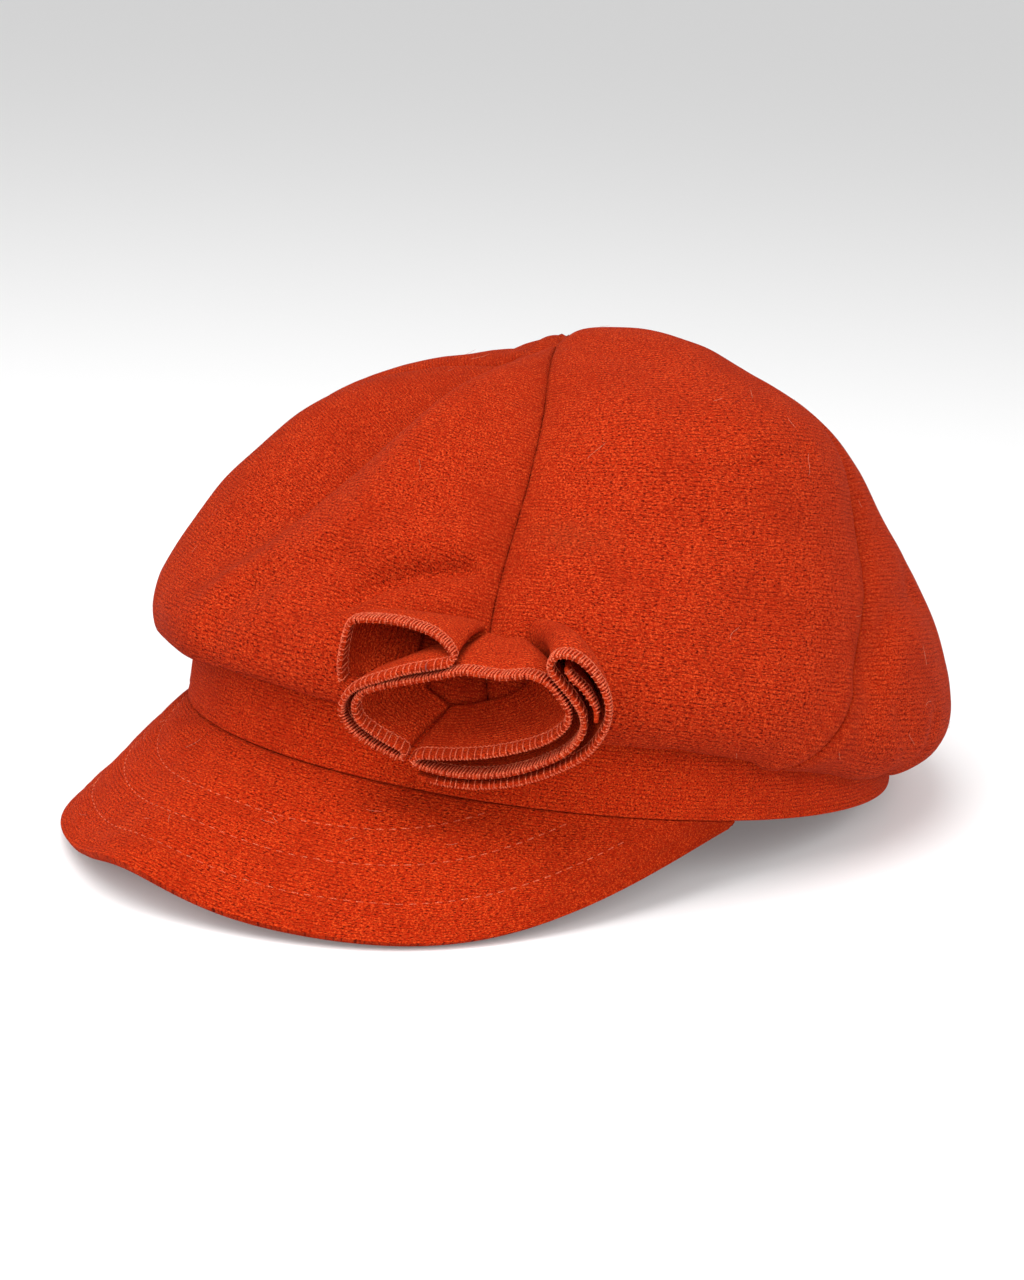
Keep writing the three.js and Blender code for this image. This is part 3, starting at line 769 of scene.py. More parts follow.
INNER_LOOP = [
    (-16.6, -16.6, 0), (-20, -14.5, 0), (-24, -11.8, 0), (-27, -8.8, 0), (-27.6, -4.6, 0),
    (-25.2, -1, 0), (-19.9, 1.2, 0), (-12.5, 3.1, 0), (-5.7, 4.9, 0), (-0.5, 6.1, 0), (4, 5.8, 0),
    (8.9, 5.3, 0), (14.8, 6.1, 0), (19.1, 4.5, 0), (22.1, 0.8, 0), (24, -3.1, 0), (23.2, -7.2, 0),
    (18.5, -11.4, 0), (11.5, -14.4, 0), (2.8, -16.7, 0), (-6.6, -17.8, 0), (-12.2, -18, 0),
    (-14.6, -19.4, 0),
]
MIDDLE_WRAP = [
    (-12.8, -21, 0), (-6, -22.5, 0), (1, -22.7, 0), (8.5, -21.5, 0), (16, -18.7, 0), (22.9, -14.5, 0),
    (26.9, -9.5, 0), (27.6, -4.5, 0), (25.4, 0.5, 0), (22.4, 4.6, 0), (20.4, 7.8, 0), (20.5, 10.2, 0),
]
OUTER_WRAP = [
    (22.6, 12.1, 0), (26.2, 11.7, 0), (29.8, 8.4, 0), (32.7, 3.1, 0), (33.6, -2.7, 0), (31.9, -8.7, 0),
    (27.6, -14.8, 0), (20.5, -19.6, 0), (11.5, -23.6, 0), (1.8, -25.5, 0), (-6.8, -25.3, 0),
    (-13.3, -23.8, 0),
]
STRIP_EDGE = UPPER_LOOP + INNER_LOOP + MIDDLE_WRAP + OUTER_WRAP
TONGUE_EDGE = [
    (23.7, 8.5, -1), (25, 6.4, 0), (28, 3.2, 0), (30.1, -0.6, 0), (30.7, -3.4, 0), (30.5, -5.4, 0),
]
print("the strip's edge is traced through", len(STRIP_EDGE), "points")

# %% [markdown]
# The root must lie close to the crown and no part of the strip may pass into it, so the crown's own
# face is asked how far away it is, by rays sent in from the front of the rosette.

# %% Rosette walls
SEAT_HEIGHT = 0.5
SEAT_COLUMNS, SEAT_ROWS, SEAT_TOP = 60, 90, 7.5
FINE_READINGS = 20
front_seam, left_seam = (float(seam_azimuth(k, np.array(SEAT_HEIGHT))) for k in (-1, 0))
seat_share = (ROSETTE_AZIMUTH - front_seam) / (left_seam - front_seam)
SEAT = crown_form(-1, np.array([seat_share]), np.array([ROSETTE_LEVEL]))[0]


def rosette_axes():
    face, droop = math.radians(ROSETTE_FACE_AZIMUTH), math.radians(ROSETTE_DROOP)
    out = Vector((math.sin(face) * math.cos(droop), -math.cos(face) * math.cos(droop), -math.sin(droop)))
    level = Vector((math.cos(face), math.sin(face), 0))
    right = Matrix.Rotation(math.radians(ROSETTE_ROLL), 3, out) @ level
    return np.array(out), np.array(right), np.array(out.cross(right))


OUT, RIGHT, UP = rosette_axes()
CENTRE = SEAT + OUT * ROSETTE_DEPTH


def seat_tree():
    """The two gores behind the rosette, ready for rays."""
    points, faces = [], []
    across, along = np.linspace(0, 1, SEAT_COLUMNS), np.linspace(0, SEAT_TOP, SEAT_ROWS)
    for gore in (-1, 0):
        share, level = np.meshgrid(across, along)
        start = len(points)
        points += [Vector(p) for p in crown_form(gore, share.ravel(), level.ravel())]
        for row, column in itertools.product(range(SEAT_ROWS - 1), range(SEAT_COLUMNS - 1)):
            a = start + row * SEAT_COLUMNS + column
            faces.append((a, a + 1, a + SEAT_COLUMNS + 1, a + SEAT_COLUMNS))
    return BVHTree.FromPolygons(points, faces)


SEAT_TREE = seat_tree()


def height_over_crown(point):
    hit = SEAT_TREE.ray_cast(Vector(point + OUT * SIGHTLINE), Vector(-OUT))
    return ROSETTE_DEPTH if hit[3] is None else hit[3] - SIGHTLINE


def rosette_place(traced):
    """Points traced in front of the rosette, in the cap's own millimetres."""
    x, y, z = (traced[..., k, None] * ROSETTE_TRACE_SCALE for k in range(3))
    return CENTRE + RIGHT * x + UP * y + OUT * z


def read_rows(table, place):
    columns = np.array(table, dtype=float).T
    return np.stack([read_row(column, place) for column in columns], axis=-1)


def even_line(table, step):
    """The smooth line through a table's points, in even steps."""
    fine = read_rows(table, np.linspace(0, len(table) - 1, FINE_READINGS * len(table)))
    length = lengths_along(fine)
    spots = np.linspace(0, length[-1], max(2, round(length[-1] / step)) + 1)
    return np.stack([np.interp(spots, length, fine[:, k]) for k in range(3)], axis=-1)


WALL_ROWS = 26
STRIP_STEP = 0.75


def strip_wall(table):
    """The strip as a grid of points: rows from its free edge to its sewn root."""
    traced = even_line(table, STRIP_STEP)
    lip = rosette_place(traced)
    start = rosette_place(traced * (ROSETTE_GATHER, ROSETTE_GATHER, 0) - (0, ROSETTE_ROOT_DROP, 0))
    root = start + OUT * np.array([CLEAR_OF_CROWN - height_over_crown(p) for p in start])[:, None]
    bend = lip - OUT * (ROSETTE_BEND * np.linalg.norm(lip - root, axis=-1))[:, None]
    rows = []
    for share in np.linspace(0, 1, WALL_ROWS):
        a, b = lip + (bend - lip) * share, bend + (root - bend) * share
        rows.append(a + (b - a) * share)
    wall = np.array(rows)
    for row, column in itertools.product(range(wall.shape[0]), range(wall.shape[1])):
        short = CLEAR_OF_CROWN - height_over_crown(wall[row, column])
        if short > 0:
            wall[row, column] += OUT * short
    return wall


strip_points = strip_wall(STRIP_EDGE)
tongue_points = strip_wall(TONGUE_EDGE)
print("strip grid", strip_points.shape, "tongue grid", tongue_points.shape)

# %% Rosette cloth
ROOT_PRESS, PRESS_FROM, PRESS_SPAN = 0.6, 0.3, 0.6
ROSETTE_ROUNDING = 0.42


def make_strip(name, wall):
    """A cloth strip from its wall of points, pressed thinner towards its sewn root."""
    rows, columns = wall.shape[0], wall.shape[1]
    piece = flat_grid(name, columns - 1, rows - 1)
    flat = read_points(piece)
    column = np.rint(flat[:, 0] * (columns - 1)).astype(int)
    row = np.rint(flat[:, 1] * (rows - 1)).astype(int)
    write_points(piece, stand(wall[row, column]))
    give_uv(piece, lengths_along(wall[0])[-1], lengths_along(wall[:, columns // 2])[-1])
    pressed = piece.vertex_groups.new(name="thickness")
    for spot, share in enumerate(flat[:, 1]):
        press = (1 - ROOT_PRESS) * float(smooth((share - PRESS_FROM) / PRESS_SPAN))
        pressed.add([spot], 1 - press, "REPLACE")
    apply_modifier(piece, "SOLIDIFY", thickness=ROSETTE_CLOTH * MM, offset=0, use_even_offset=False,
                   vertex_group="thickness")
    round_cut_edges(piece, ROSETTE_CLOTH * ROSETTE_ROUNDING)
    piece.vertex_groups.clear()
    shade(piece)
    say(piece)
    return piece


rosette_strip = make_strip("rosette_strip_cloth", strip_points)
rosette_tongue = make_strip("rosette_tongue_cloth", tongue_points)

# %% [markdown]
# ## Threads
# A thread is a thin round tube, and so is a stray fibre. Many threads are shaped from one grid: its
# columns follow the threads one after the other, its rows go round them, and the faces between the
# end of one thread and the start of the next are deleted. Both ends of a thread close in a point.

# %% Helper that makes threads
THREAD_SIDES = 6
THREAD_MERGE = 0.001


def tube_rings(path, reference, radius):
    """Points round a path. The reference is any direction that isn't along the path."""
    ahead = unit(np.gradient(path, axis=0))
    side = unit(np.cross(ahead, reference))
    other = np.cross(ahead, side)
    turn = np.linspace(0, 2 * np.pi, THREAD_SIDES + 1)[:, None, None]
    return path + (np.cos(turn) * side + np.sin(turn) * other) * radius[:, None]


def make_threads(name, threads):
    """One piece from threads that are each given as a path, a reference direction and a radius."""
    rings, ends = [], []
    for path, reference, radius in threads:
        pointed = np.full(len(path), radius)
        pointed[[0, -1]] = 0
        rings.append(tube_rings(path, reference, pointed))
        ends.append(len(path))
    rings = np.concatenate(rings, axis=1)
    last_columns = np.cumsum(ends)[:-1] - 1
    columns = rings.shape[1] - 1
    piece = flat_grid(name, columns, THREAD_SIDES)
    flat = read_points(piece)
    column = np.rint(flat[:, 0] * columns).astype(int)
    row = np.rint(flat[:, 1] * THREAD_SIDES).astype(int)
    face_middles = np.array([face.center.x for face in piece.data.polygons]) * columns
    between = np.isin(np.floor(face_middles).astype(int), last_columns)
    write_points(piece, stand(rings[row, column]))
    only(piece)
    bpy.ops.object.mode_set(mode="EDIT")
    bpy.ops.mesh.select_all(action="DESELECT")
    bpy.ops.object.mode_set(mode="OBJECT")
    piece.data.polygons.foreach_set("select", between)
    bpy.ops.object.mode_set(mode="EDIT")
    bpy.ops.mesh.select_mode(type="FACE")
    bpy.ops.mesh.delete(type="FACE")
    bpy.ops.mesh.select_all(action="SELECT")
    bpy.ops.mesh.remove_doubles(threshold=THREAD_MERGE * MM)
    bpy.ops.mesh.normals_make_consistent(inside=False)
    bpy.ops.object.mode_set(mode="OBJECT")
    shade(piece)
    say(piece)
    return piece


# %% [markdown]
# ## The rosette's overlocked edge
# An overlock machine trims a cloth's edge and wraps it. On the cloth's back the looper thread lies in
# close slanted ribs. On its front only a few thin ribs show, with the cloth between them. A needle
# thread runs along both faces about 3 mm in from the edge. Each of the two coils here wraps the
# edge, shows on its own face and passes back inside the cloth.

# %% Overlock
OVERLOCK_WIDTH = 2.9
CHAIN_THREAD, CHAIN_WAVE, CHAIN_STEP, CHAIN_PITCH = 0.13, 0.14, 0.22, 1.1
COIL_LIFT, COIL_START, COIL_RUN, COIL_SPARE = 0.7, 0.7, 0.4, 2
NEXT_TURN, NEXT_FACE = 3.7, 20
UNEVEN_DEPTH_SIZE, UNEVEN_PLACE_SIZE, UNEVEN_PLACE_SHIFT = 1.3, 1.7, 4.2
INWARD_ROW = 4
COILS = [
    {"face": 1, "pitch": 0.76, "thread": 0.18, "slant": 0.9, "uneven": 0.22, "over": 0.3},
    {"face": -1, "pitch": 1.45, "thread": 0.14, "slant": 0.35, "uneven": 0.3, "over": -1},
]
# One turn of a coil: how deep in from the edge, how far out on its own face, and how far along.
# A coil's "over" limits how far it passes round to the other face.
WRAP_STOPS = [
    {"in": 1.0, "side": 0.85, "on": 1}, {"in": 0.7, "side": 1.08, "on": 0.7},
    {"in": 0.35, "side": 1.12, "on": 0.35}, {"in": 0.05, "side": 1.0, "on": 0.05},
    {"in": -0.07, "side": 0.1, "on": 0}, {"in": 0.04, "side": -0.85, "on": 0},
    {"in": 0.16, "side": -0.7, "on": 0.1}, {"in": 0.3, "side": 0, "on": 0.4},
    {"in": 0.9, "side": 0.1, "on": 0.9},
]


def edge_reader(wall):
    """A function from length along the strip's edge and depth in from it to a place on the strip."""
    along = lengths_along(wall[0])
    inward = np.array([lengths_along(wall[:, k]) for k in range(wall.shape[1])])
    columns = np.arange(wall.shape[1])
    rows = np.arange(wall.shape[0])

    def sample(line, column):
        return np.stack([np.interp(column, columns, line[:, k]) for k in range(3)], axis=-1)

    def read(length, depth):
        column = np.interp(length, along, columns)
        depths = inward[np.rint(column).astype(int)]
        row = np.array([np.interp(d, steps, rows) for d, steps in zip(np.maximum(depth, 0), depths)])
        low = np.clip(np.floor(row).astype(int), 0, wall.shape[0] - 2)
        part = (row - low)[:, None]
        place = np.zeros((len(length), 3))
        for step, weight in ((0, 1 - part), (1, part)):
            for k in range(wall.shape[0]):
                here = low + step == k
                if here.any():
                    place[here] += weight[here] * sample(wall[k], column[here])
        into = unit(sample(wall[INWARD_ROW], column) - sample(wall[0], column))
        ahead = unit(sample(wall[0], column + 0.5) - sample(wall[0], column - 0.5))
        out = unit(np.cross(ahead, into))
        return place + into * np.minimum(depth, 0)[:, None], out, ahead

    return read, along[-1]


def coil(wall, face, pitch, thread, slant, uneven, over):
    """A thread that wraps the edge again and again and shows on one face."""
    read, length = edge_reader(wall)
    half = ROSETTE_CLOTH / 2 + thread * COIL_LIFT
    stitches = int((length - slant) / pitch) - COIL_SPARE
    stops = len(WRAP_STOPS)
    turn = np.repeat(np.arange(stitches), stops)
    part = np.tile(np.arange(stops), stitches) / stops
    spot = np.stack([turn * NEXT_TURN, 0.0 * turn, 0.0 * turn + NEXT_FACE * face], axis=-1)
    reach = 1 + uneven * soft_noise(spot, UNEVEN_DEPTH_SIZE)
    shift = uneven * soft_noise(spot, UNEVEN_PLACE_SIZE, UNEVEN_PLACE_SHIFT)
    on = np.tile([stop["on"] for stop in WRAP_STOPS], stitches)
    place = (turn + COIL_START + COIL_RUN * part + shift) * pitch + slant * on
    depth = np.tile([stop["in"] for stop in WRAP_STOPS], stitches) * OVERLOCK_WIDTH * reach
    side = np.tile([max(stop["side"], over) for stop in WRAP_STOPS], stitches) * half * face
    spot, out, ahead = read(place, depth)
    return spot + out * side[:, None], ahead, thread


def chain(wall, face):
    """The needle thread that runs along one face, a fixed way in from the edge."""
    read, length = edge_reader(wall)
    place = np.arange(CHAIN_PITCH, length - CHAIN_PITCH, CHAIN_STEP)
    wave = CHAIN_WAVE * np.cos(2 * np.pi * place / CHAIN_PITCH)
    spot, out, _ = read(place, OVERLOCK_WIDTH + wave)
    lift = ROSETTE_CLOTH / 2 + CHAIN_THREAD * (0.5 + 0.5 * np.sin(2 * np.pi * place / CHAIN_PITCH))
    return spot + out * (face * lift)[:, None], out, CHAIN_THREAD


def overlock_threads(wall):
    return [coil(wall, **row) for row in COILS] + [chain(wall, face) for face in (1, -1)]


strip_overlock = make_threads("rosette_overlock", overlock_threads(strip_points))
tongue_overlock = make_threads("rosette_tongue_overlock", overlock_threads(tongue_points))

# %% [markdown]
# ## Stitches on the peak
# Each quilting row is a running stitch: a short thread on the face, then a gap where the thread is
# inside the cloth. The stitches sink a little into the soft wool, on both faces.

# %% Peak stitches
PEAK_STITCH, PEAK_STITCH_PITCH, PEAK_THREAD = 2.0, 2.9, 0.14
STITCH_POINTS = 7
STITCH_SINK, STITCH_BOW = 0.09, 1.2
ROW_END_AZIMUTH, ROW_AZIMUTHS = 62, 200
ROW_FIRST_SHARE, ROW_SHARES = 0.03, 60


def peak_stitches(row, upper):
    """The stitches of one row, kept where the peak is long enough to hold the row."""
    azimuth, share = [], []
    tried = np.linspace(ROW_FIRST_SHARE, 1, ROW_SHARES)
    for angle in np.linspace(-ROW_END_AZIMUTH, ROW_END_AZIMUTH, ROW_AZIMUTHS):
        from_edge = peak_from_edge(peak_middle(np.full(ROW_SHARES, angle), tried))
        if from_edge[0] > row["from_edge"]:
            azimuth.append(angle)
            share.append(np.interp(-row["from_edge"], -from_edge, tried))
    azimuth, share = np.array(azimuth), np.array(share)
    up = peak_up(azimuth, share)
    if upper:
        line = peak_middle(azimuth, share) + up * (peak_relief(azimuth, share) - PEAK_TOP_FACE)[:, None]
    else:
        line = peak_middle(azimuth, share) - up * (PEAK_TOP_FACE + PEAK_TOP_CLOTH + PEAK_UNDER_CLOTH)
        up = -up
    length = lengths_along(line)
    threads = []
    for start in np.arange(0, length[-1] - PEAK_STITCH, PEAK_STITCH_PITCH):
        at = start + np.linspace(0, PEAK_STITCH, STITCH_POINTS)
        spot = np.stack([np.interp(at, length, line[:, k]) for k in range(3)], axis=-1)
        out = up[np.searchsorted(length, start)]
        bow = np.sin(np.linspace(0, np.pi, STITCH_POINTS)) * PEAK_THREAD * STITCH_BOW - STITCH_SINK
        threads.append((spot + out * bow[:, None], out, PEAK_THREAD))
    return threads


quilting = []
for row in STITCH_ROWS:
    quilting += peak_stitches(row, True) + peak_stitches(row, False)
peak_threads = make_threads("peak_stitches", quilting)

# %% [markdown]
# ## Stray fibres
# A few pale fibres lie on the wool, as on any worn cap. Each is a thin curled thread that lies on the
# cloth. They are scattered over the crown and the peak from a fixed seed.

# %% Fibres
FIBRE_RADIUS = 0.03
FIBRE_POINTS = 8
FIBRE_CURL, FIBRE_LIFT, FIBRE_BOW = 0.35, 0.25, 0.5
CROWN_FIBRES, PEAK_FIBRES = 70, 14
CROWN_SPREAD = {"share": (0.05, 0.95), "level": (2.2, 7.5), "length": (2, 7)}
PEAK_SPREAD = {"azimuth": (-60, 60), "share": (0.15, 0.9), "length": (2, 6)}
FIBRE_SEED = 21
fibre_dice = np.random.default_rng(FIBRE_SEED)


def throw(spread, key):
    """One random value within a spread."""
    return fibre_dice.uniform(*spread[key], 1)


def fibre(place, out, length):
    """A curled fibre that lies on the cloth at a place."""
    heading = unit(np.cross(out, fibre_dice.normal(size=3)))
    curl = fibre_dice.normal(0, FIBRE_CURL, 2)
    sideways = np.cross(out, heading)
    along = np.linspace(-0.5, 0.5, FIBRE_POINTS)
    bend = curl[0] * along ** 2 + curl[1] * along ** 3 * 2
    lift = FIBRE_LIFT + FIBRE_BOW * along ** 2 * abs(fibre_dice.normal(0, 1))
    path = place + heading * (along * length)[:, None] + sideways * (bend * length)[:, None]
    return path + out * lift[:, None], out, FIBRE_RADIUS


fibres = []
for _ in range(CROWN_FIBRES):
    gore = int(fibre_dice.integers(len(GORES)))
    share, level = throw(CROWN_SPREAD, "share"), throw(CROWN_SPREAD, "level")
    _, out, _, _, _ = crown_frame(gore, share, level)
    fibres.append(fibre(crown_form(gore, share, level)[0], out[0], throw(CROWN_SPREAD, "length")[0]))
for _ in range(PEAK_FIBRES):
    azimuth, share = throw(PEAK_SPREAD, "azimuth"), throw(PEAK_SPREAD, "share")
    up = peak_up(azimuth, share)
    place = peak_middle(azimuth, share) + up * (peak_relief(azimuth, share) - PEAK_TOP_FACE)[:, None]
    fibres.append(fibre(place[0], up[0], throw(PEAK_SPREAD, "length")[0]))
stray_fibres = make_threads("stray_fibres", fibres)

# %% [markdown]
# ## Brushed wool
# Brushed wool is matt, with a felted nap: tangled fibres that catch the light, tiny dark pits between
# them, and a soft sheen at grazing angles. The colour varies a little from place to place. Layers of
# noise on Object coordinates give all of this at real scale, and bump gives the nap its depth. Where
# the weave shows, its rows and the pits follow the UV map, so that they run with the cloth.

# %% Wool material
NAP = {"size": 0.42, "detail": 3, "roughness": 0.65}
PITS = {"size": 0.36, "detail": 2, "roughness": 0.6}
BLOTCHES = {"size": 3.2, "detail": 2, "roughness": 0.5}
PATCHES = {"size": 18, "detail": 3, "roughness": 0.55}
# Where a layer starts to show, where it shows fully and, if not at full strength, how strong it is
NAP_SHOWS, PITS_SHOW = (0.48, 0.62), (0.49, 0.36)
PATCHES_SHOW, BLOTCHES_SHOW = (0.5, 0.7, 0.35), (0.46, 0.3, 0.22)
ROW_GAPS_SHOW, ROWS_WORN, STAIN_SHOWS = (0.5, 0.0), (0.35, 0.6, 0.5), (1.5, 0.7)
PIT_STRETCH = (0.65, 1.25, 1)
PATCH_SHADE = 0.7
# At a scale of 1 the wave texture turns by 20 radians in one unit
WAVE_RADIANS = 20
ROW_WAVER = {"Distortion": 2.2, "Detail": 2, "Detail Scale": 1.5}
ROW_HEIGHT = 0.25
BUMP_STRENGTH, BUMP_DEPTH = 0.8, 0.35
WOOL_FINISH = {"Roughness": 0.95, "Sheen Weight": 0.03, "Sheen Roughness": 0.5,
               "Sheen Tint": (1.0, 0.25, 0.08, 1)}


def set_inputs(node, values):
    """Sets inputs of a node by their names."""
    for name, value in values.items():
        node.inputs[name].default_value = value


def wool(name, colour, dark, light, grain=1.0, weave=0.0, shine=0.05, stains=()):
    """A felted wool cloth. The three colours are the cloth, its pits and its nap."""
    material = bpy.data.materials.new(name)
    material.use_nodes = True
    nodes, links = material.node_tree.nodes, material.node_tree.links
    shader = nodes["Principled BSDF"]
    set_inputs(shader, {**WOOL_FINISH, "Specular IOR Level": shine})
    where = nodes.new("ShaderNodeTexCoord")

    def noise(size, detail, roughness, grain=1.0):
        texture = nodes.new("ShaderNodeTexNoise")
        set_inputs(texture, {"Scale": 1 / (size * grain * MM), "Detail": detail, "Roughness": roughness})
        links.new(where.outputs["Object"], texture.inputs["Vector"])
        return texture.outputs["Fac"]

    def ramp(source, low, high, most=1.0):
        curve = nodes.new("ShaderNodeMapRange")
        set_inputs(curve, {"From Min": low, "From Max": high, "To Max": most})
        links.new(source, curve.inputs["Value"])
        return curve.outputs["Result"]

    def feed(socket, value):
        """Gives a socket a colour, a number or another node's output."""
        if isinstance(value, tuple):
            socket.default_value = (*value, 1)
        elif isinstance(value, (int, float)):
            socket.default_value = value
        else:
            links.new(value, socket)

    def mix(a, b, factor):
        blend = nodes.new("ShaderNodeMix")
        blend.data_type = "RGBA"
        feed(blend.inputs[6], a)
        feed(blend.inputs[7], b)
        feed(blend.inputs[0], factor)
        return blend.outputs[2]

    def math_node(operation, first, second):
        node = nodes.new("ShaderNodeMath")
        node.operation = operation
        feed(node.inputs[0], first)
        feed(node.inputs[1], second)
        return node.outputs[0]

    def vector_node(operation, source, by=(0, 0, 0)):
        node = nodes.new("ShaderNodeVectorMath")
        node.operation = operation
        node.inputs[1].default_value = by
        links.new(source, node.inputs[0])
        return node.outputs

    def stained(colours, place, radius, tint, most):
        """The colours with a faint uneven stain round a place."""
        offset = vector_node("SUBTRACT", where.outputs["Object"], place)["Vector"]
        away = vector_node("LENGTH", vector_node("DIVIDE", offset, radius)["Vector"])["Value"]
        return mix(colours, tint, ramp(math_node("ADD", away, blotches), *STAIN_SHOWS, most))

    nap, pits = noise(**NAP, grain=grain), noise(**PITS, grain=grain)
    blotches, patches = noise(**BLOTCHES), noise(**PATCHES)
    if weave:
        dashes = nodes.new("ShaderNodeMapping")
        set_inputs(dashes, {"Scale": PIT_STRETCH})
        links.new(where.outputs["UV"], dashes.inputs["Vector"])
        links.new(dashes.outputs["Vector"], pits.node.inputs["Vector"])
    colours = mix(colour, light, ramp(nap, *NAP_SHOWS))
    colours = mix(colours, dark, ramp(pits, *PITS_SHOW))
    shaded = tuple(c * PATCH_SHADE for c in colour)
    colours = mix(colours, shaded, ramp(patches, *PATCHES_SHOW))
    colours = mix(colours, dark, ramp(blotches, *BLOTCHES_SHOW))
    height = math_node("ADD", nap, pits)
    if weave:
        rows = nodes.new("ShaderNodeTexWave")
        rows.bands_direction = "Y"
        set_inputs(rows, {"Scale": 2 * math.pi / WAVE_RADIANS / (weave * MM), **ROW_WAVER})
        links.new(where.outputs["UV"], rows.inputs["Vector"])
        row_gaps = ramp(rows.outputs["Fac"], *ROW_GAPS_SHOW)
        worn = math_node("MULTIPLY", row_gaps, ramp(blotches, *ROWS_WORN))
        colours = mix(colours, dark, worn)
        height = math_node("ADD", height, math_node("MULTIPLY", rows.outputs["Fac"], ROW_HEIGHT))
    for stain in stains:
        colours = stained(colours, **stain)
    links.new(colours, shader.inputs["Base Color"])
    bump = nodes.new("ShaderNodeBump")
    set_inputs(bump, {"Strength": BUMP_STRENGTH, "Distance": BUMP_DEPTH * MM})
    links.new(height, bump.inputs["Height"])
    links.new(bump.outputs["Normal"], shader.inputs["Normal"])
    return material


WOOL = (0.36, 0.0165, 0.002)
WOOL_PITS = (0.075, 0.0015, 0.0)
WOOL_NAP = (0.63, 0.062, 0.012)
# The peak, the band and the rosette are the same wool as the crown in lighter colours: painted light on
# these parts
WOOL_PEAK_PAINTED_LIGHTER = (0.41, 0.017, 0.0015)
WOOL_BAND_PAINTED_LIGHTER = (0.45, 0.019, 0.002)
WOOL_ROSETTE_PAINTED_LIGHTER = (0.41, 0.02, 0.0025)
WOOL_NAP_PAINTED_LIGHTER = (0.7, 0.066, 0.01)
WOOL_NAP_ROSETTE_PAINTED_LIGHTER = (0.7, 0.07, 0.013)
# The threads' third colour, the light flecks of their nap, is partly a painted highlight
THREAD_COLOURS_AND_PAINTED_HIGHLIGHT = (0.62, 0.07, 0.02), (0.36, 0.02, 0.004), (0.9, 0.24, 0.11)
FIBRE_COLOURS = (0.62, 0.22, 0.12), (0.5, 0.12, 0.06), (0.8, 0.42, 0.3)
UNDER_COLOURS = (0.36, 0.018, 0.002), WOOL_PITS, (0.46, 0.04, 0.01)
THREAD_GRAIN, THREAD_SHINE, FIBRE_GRAIN = 0.8, 0.35, 0.6
WEAVE = 0.95
# A faint stain on the crown beside the front left seam, and a small dark one on the overlock
CROWN_STAIN_AZIMUTH, CROWN_STAIN_HEIGHT = 45.0, 0.615
EDGE_STAIN_TRACED = (-9.5, 7.2, 0)
crown_spot = crown_base(np.array([CROWN_STAIN_AZIMUTH]), np.array([CROWN_STAIN_HEIGHT * TOP_LEVEL]))[0]
edge_spot = rosette_place(np.array(EDGE_STAIN_TRACED))
CROWN_STAIN = {"place": stand(crown_spot), "radius": (0.014, 0.014, 0.005),
               "tint": (0.2, 0.024, 0.006), "most": 0.3}
EDGE_STAIN = {"place": stand(edge_spot), "radius": (0.0016, 0.0016, 0.0016),
              "tint": (0.09, 0.03, 0.035), "most": 0.8}
crown_wool = wool("crown_wool", WOOL, WOOL_PITS, WOOL_NAP, weave=WEAVE, stains=[CROWN_STAIN])
# The rosette, the band and the peak take the lighter colours, which are painted light
rosette_wool = wool("rosette_wool", WOOL_ROSETTE_PAINTED_LIGHTER, WOOL_PITS, WOOL_NAP_ROSETTE_PAINTED_LIGHTER, weave=WEAVE)
band_wool = wool("band_wool", WOOL_BAND_PAINTED_LIGHTER, WOOL_PITS, WOOL_NAP_PAINTED_LIGHTER, weave=WEAVE)
peak_wool = wool("peak_wool", WOOL_PEAK_PAINTED_LIGHTER, WOOL_PITS, WOOL_NAP_PAINTED_LIGHTER, weave=WEAVE)
# The threads' light nap flecks are partly painted highlights
thread_orange = wool("overlock_thread", *THREAD_COLOURS_AND_PAINTED_HIGHLIGHT, THREAD_GRAIN, shine=THREAD_SHINE,
                     stains=[EDGE_STAIN])
fibre_pale = wool("fibre", *FIBRE_COLOURS, FIBRE_GRAIN)
under_wool = wool("peak_under_wool", *UNDER_COLOURS)
print("materials", [m.name for m in bpy.data.materials])

# %% [markdown]
# ## Dressing the pieces
# Each cloth piece gets its wool and takes the place of the plain solid of the same part. The threads
# and the fibres have no solid of their own, so no solid is hidden for them.

# %% Dress the pieces


def dress(piece, material, slot, *nodes):
    piece.data.materials.clear()
    piece.data.materials.append(material)
    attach(piece, "root")
    if nodes:
        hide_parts(*nodes)


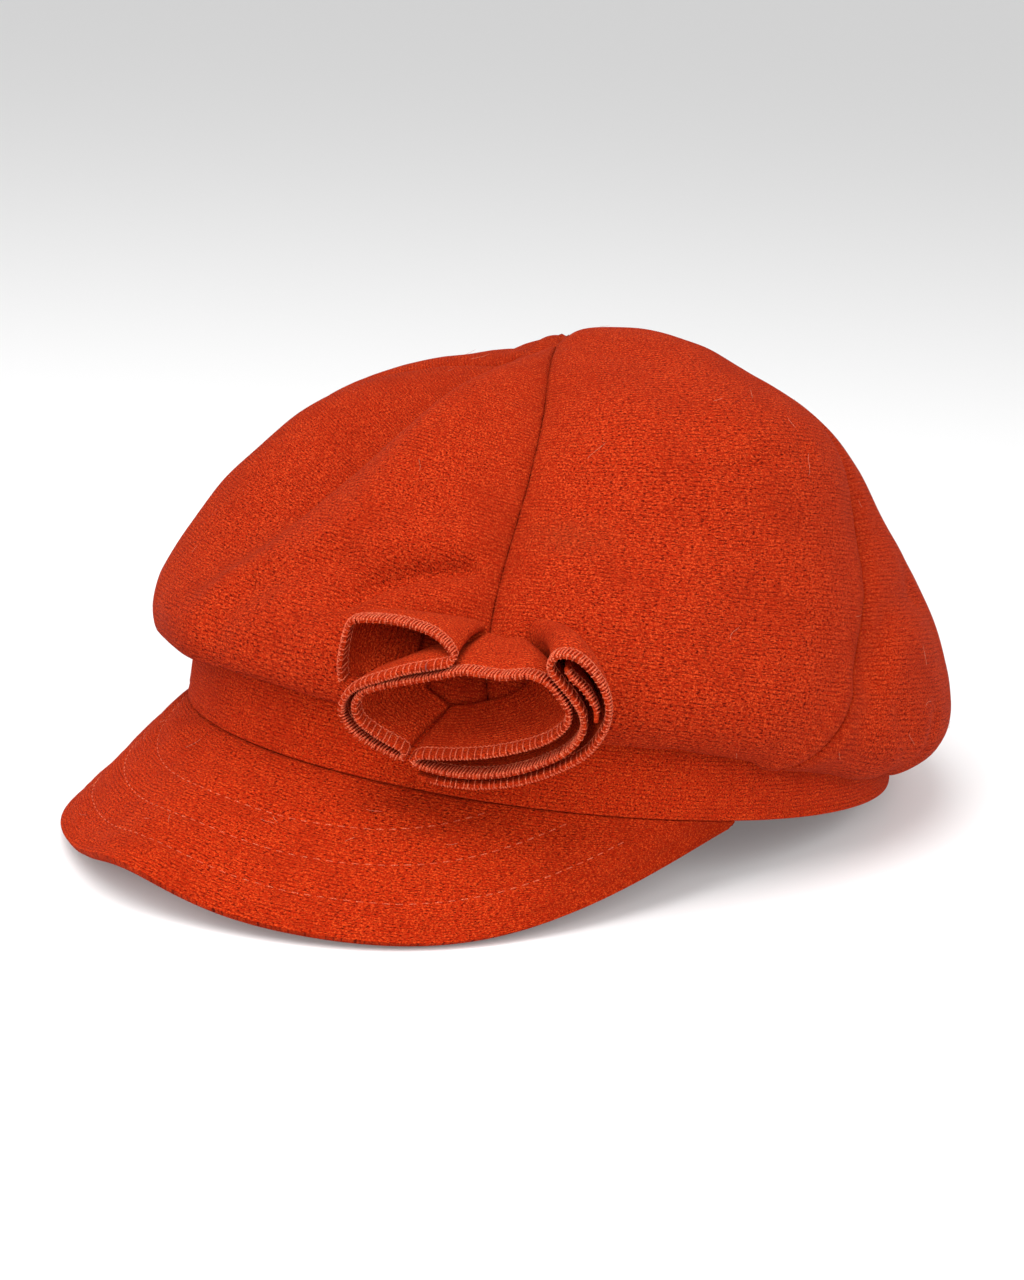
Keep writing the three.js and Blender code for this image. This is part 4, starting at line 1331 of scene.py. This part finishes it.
for piece, node in zip(gores, GORES):
    dress(piece, crown_wool, "crown_cloth", node)
dress(band, band_wool, "band_cloth", "band")
dress(peak_top, peak_wool, "peak_cloth", "peak_top")
dress(peak_under, under_wool, "peak_under_cloth", "peak_under")
dress(rosette_strip, rosette_wool, "rosette_cloth", "rosette_strip")
dress(rosette_tongue, rosette_wool, "rosette_cloth", "rosette_tongue")
dress(strip_overlock, thread_orange, "rosette_cloth")
dress(tongue_overlock, thread_orange, "rosette_cloth")
dress(peak_threads, thread_orange, "peak_cloth")
dress(stray_fibres, fibre_pale, "crown_cloth")

# %% [markdown]
# ## Floor and light
# A plain pale floor and plain soft studio light: a large soft lamp above and in front, a weaker one
# lower in front, another at the picture's right, and a bright even surround that keeps the shadows
# light. The floor glows a little, so that it stays as pale as studio paper.

# %% Floor, lights and surround
FLOOR_SIZE = 40
FLOOR_FINISH = {"Base Color": (0.76, 0.76, 0.76, 1), "Roughness": 0.9,
                "Emission Color": (1, 1, 1, 1), "Emission Strength": 0.14}
SURROUND = 0.64
LAMPS = [
    {"name": "soft_top", "place": (0.15, -0.5, 1.1), "size": 0.9, "power": 11},
    {"name": "soft_front", "place": (0.1, -1.0, 0.6), "size": 0.8, "power": 5},
    {"name": "soft_right", "place": (0.95, 0.0, 0.75), "size": 0.7, "power": 5},
]
LAMP_AIM = Vector((0, 0, 0.05))


def add_floor():
    bpy.ops.object.select_all(action="DESELECT")
    bpy.ops.mesh.primitive_plane_add(size=FLOOR_SIZE)
    floor = bpy.context.object
    floor.name = "floor"
    material = bpy.data.materials.new("pale_floor")
    material.use_nodes = True
    set_inputs(material.node_tree.nodes["Principled BSDF"], FLOOR_FINISH)
    floor.data.materials.append(material)


def add_lamp(name, place, size, power):
    bpy.ops.object.light_add(type="AREA", location=place)
    lamp = bpy.context.object
    lamp.name = name
    lamp.data.shape = "DISK"
    lamp.data.size = size
    lamp.data.energy = power
    direction = LAMP_AIM - Vector(place)
    lamp.rotation_euler = direction.to_track_quat("-Z", "Y").to_euler()


def add_surround():
    world = bpy.context.scene.world or bpy.data.worlds.new("studio")
    bpy.context.scene.world = world
    world.use_nodes = True
    set_inputs(world.node_tree.nodes["Background"], {"Color": (1, 1, 1, 1), "Strength": SURROUND})


add_floor()
for lamp in LAMPS:
    add_lamp(**lamp)
add_surround()
bpy.context.scene.view_settings.view_transform = "Standard"
print("lamps", [lamp["name"] for lamp in LAMPS])
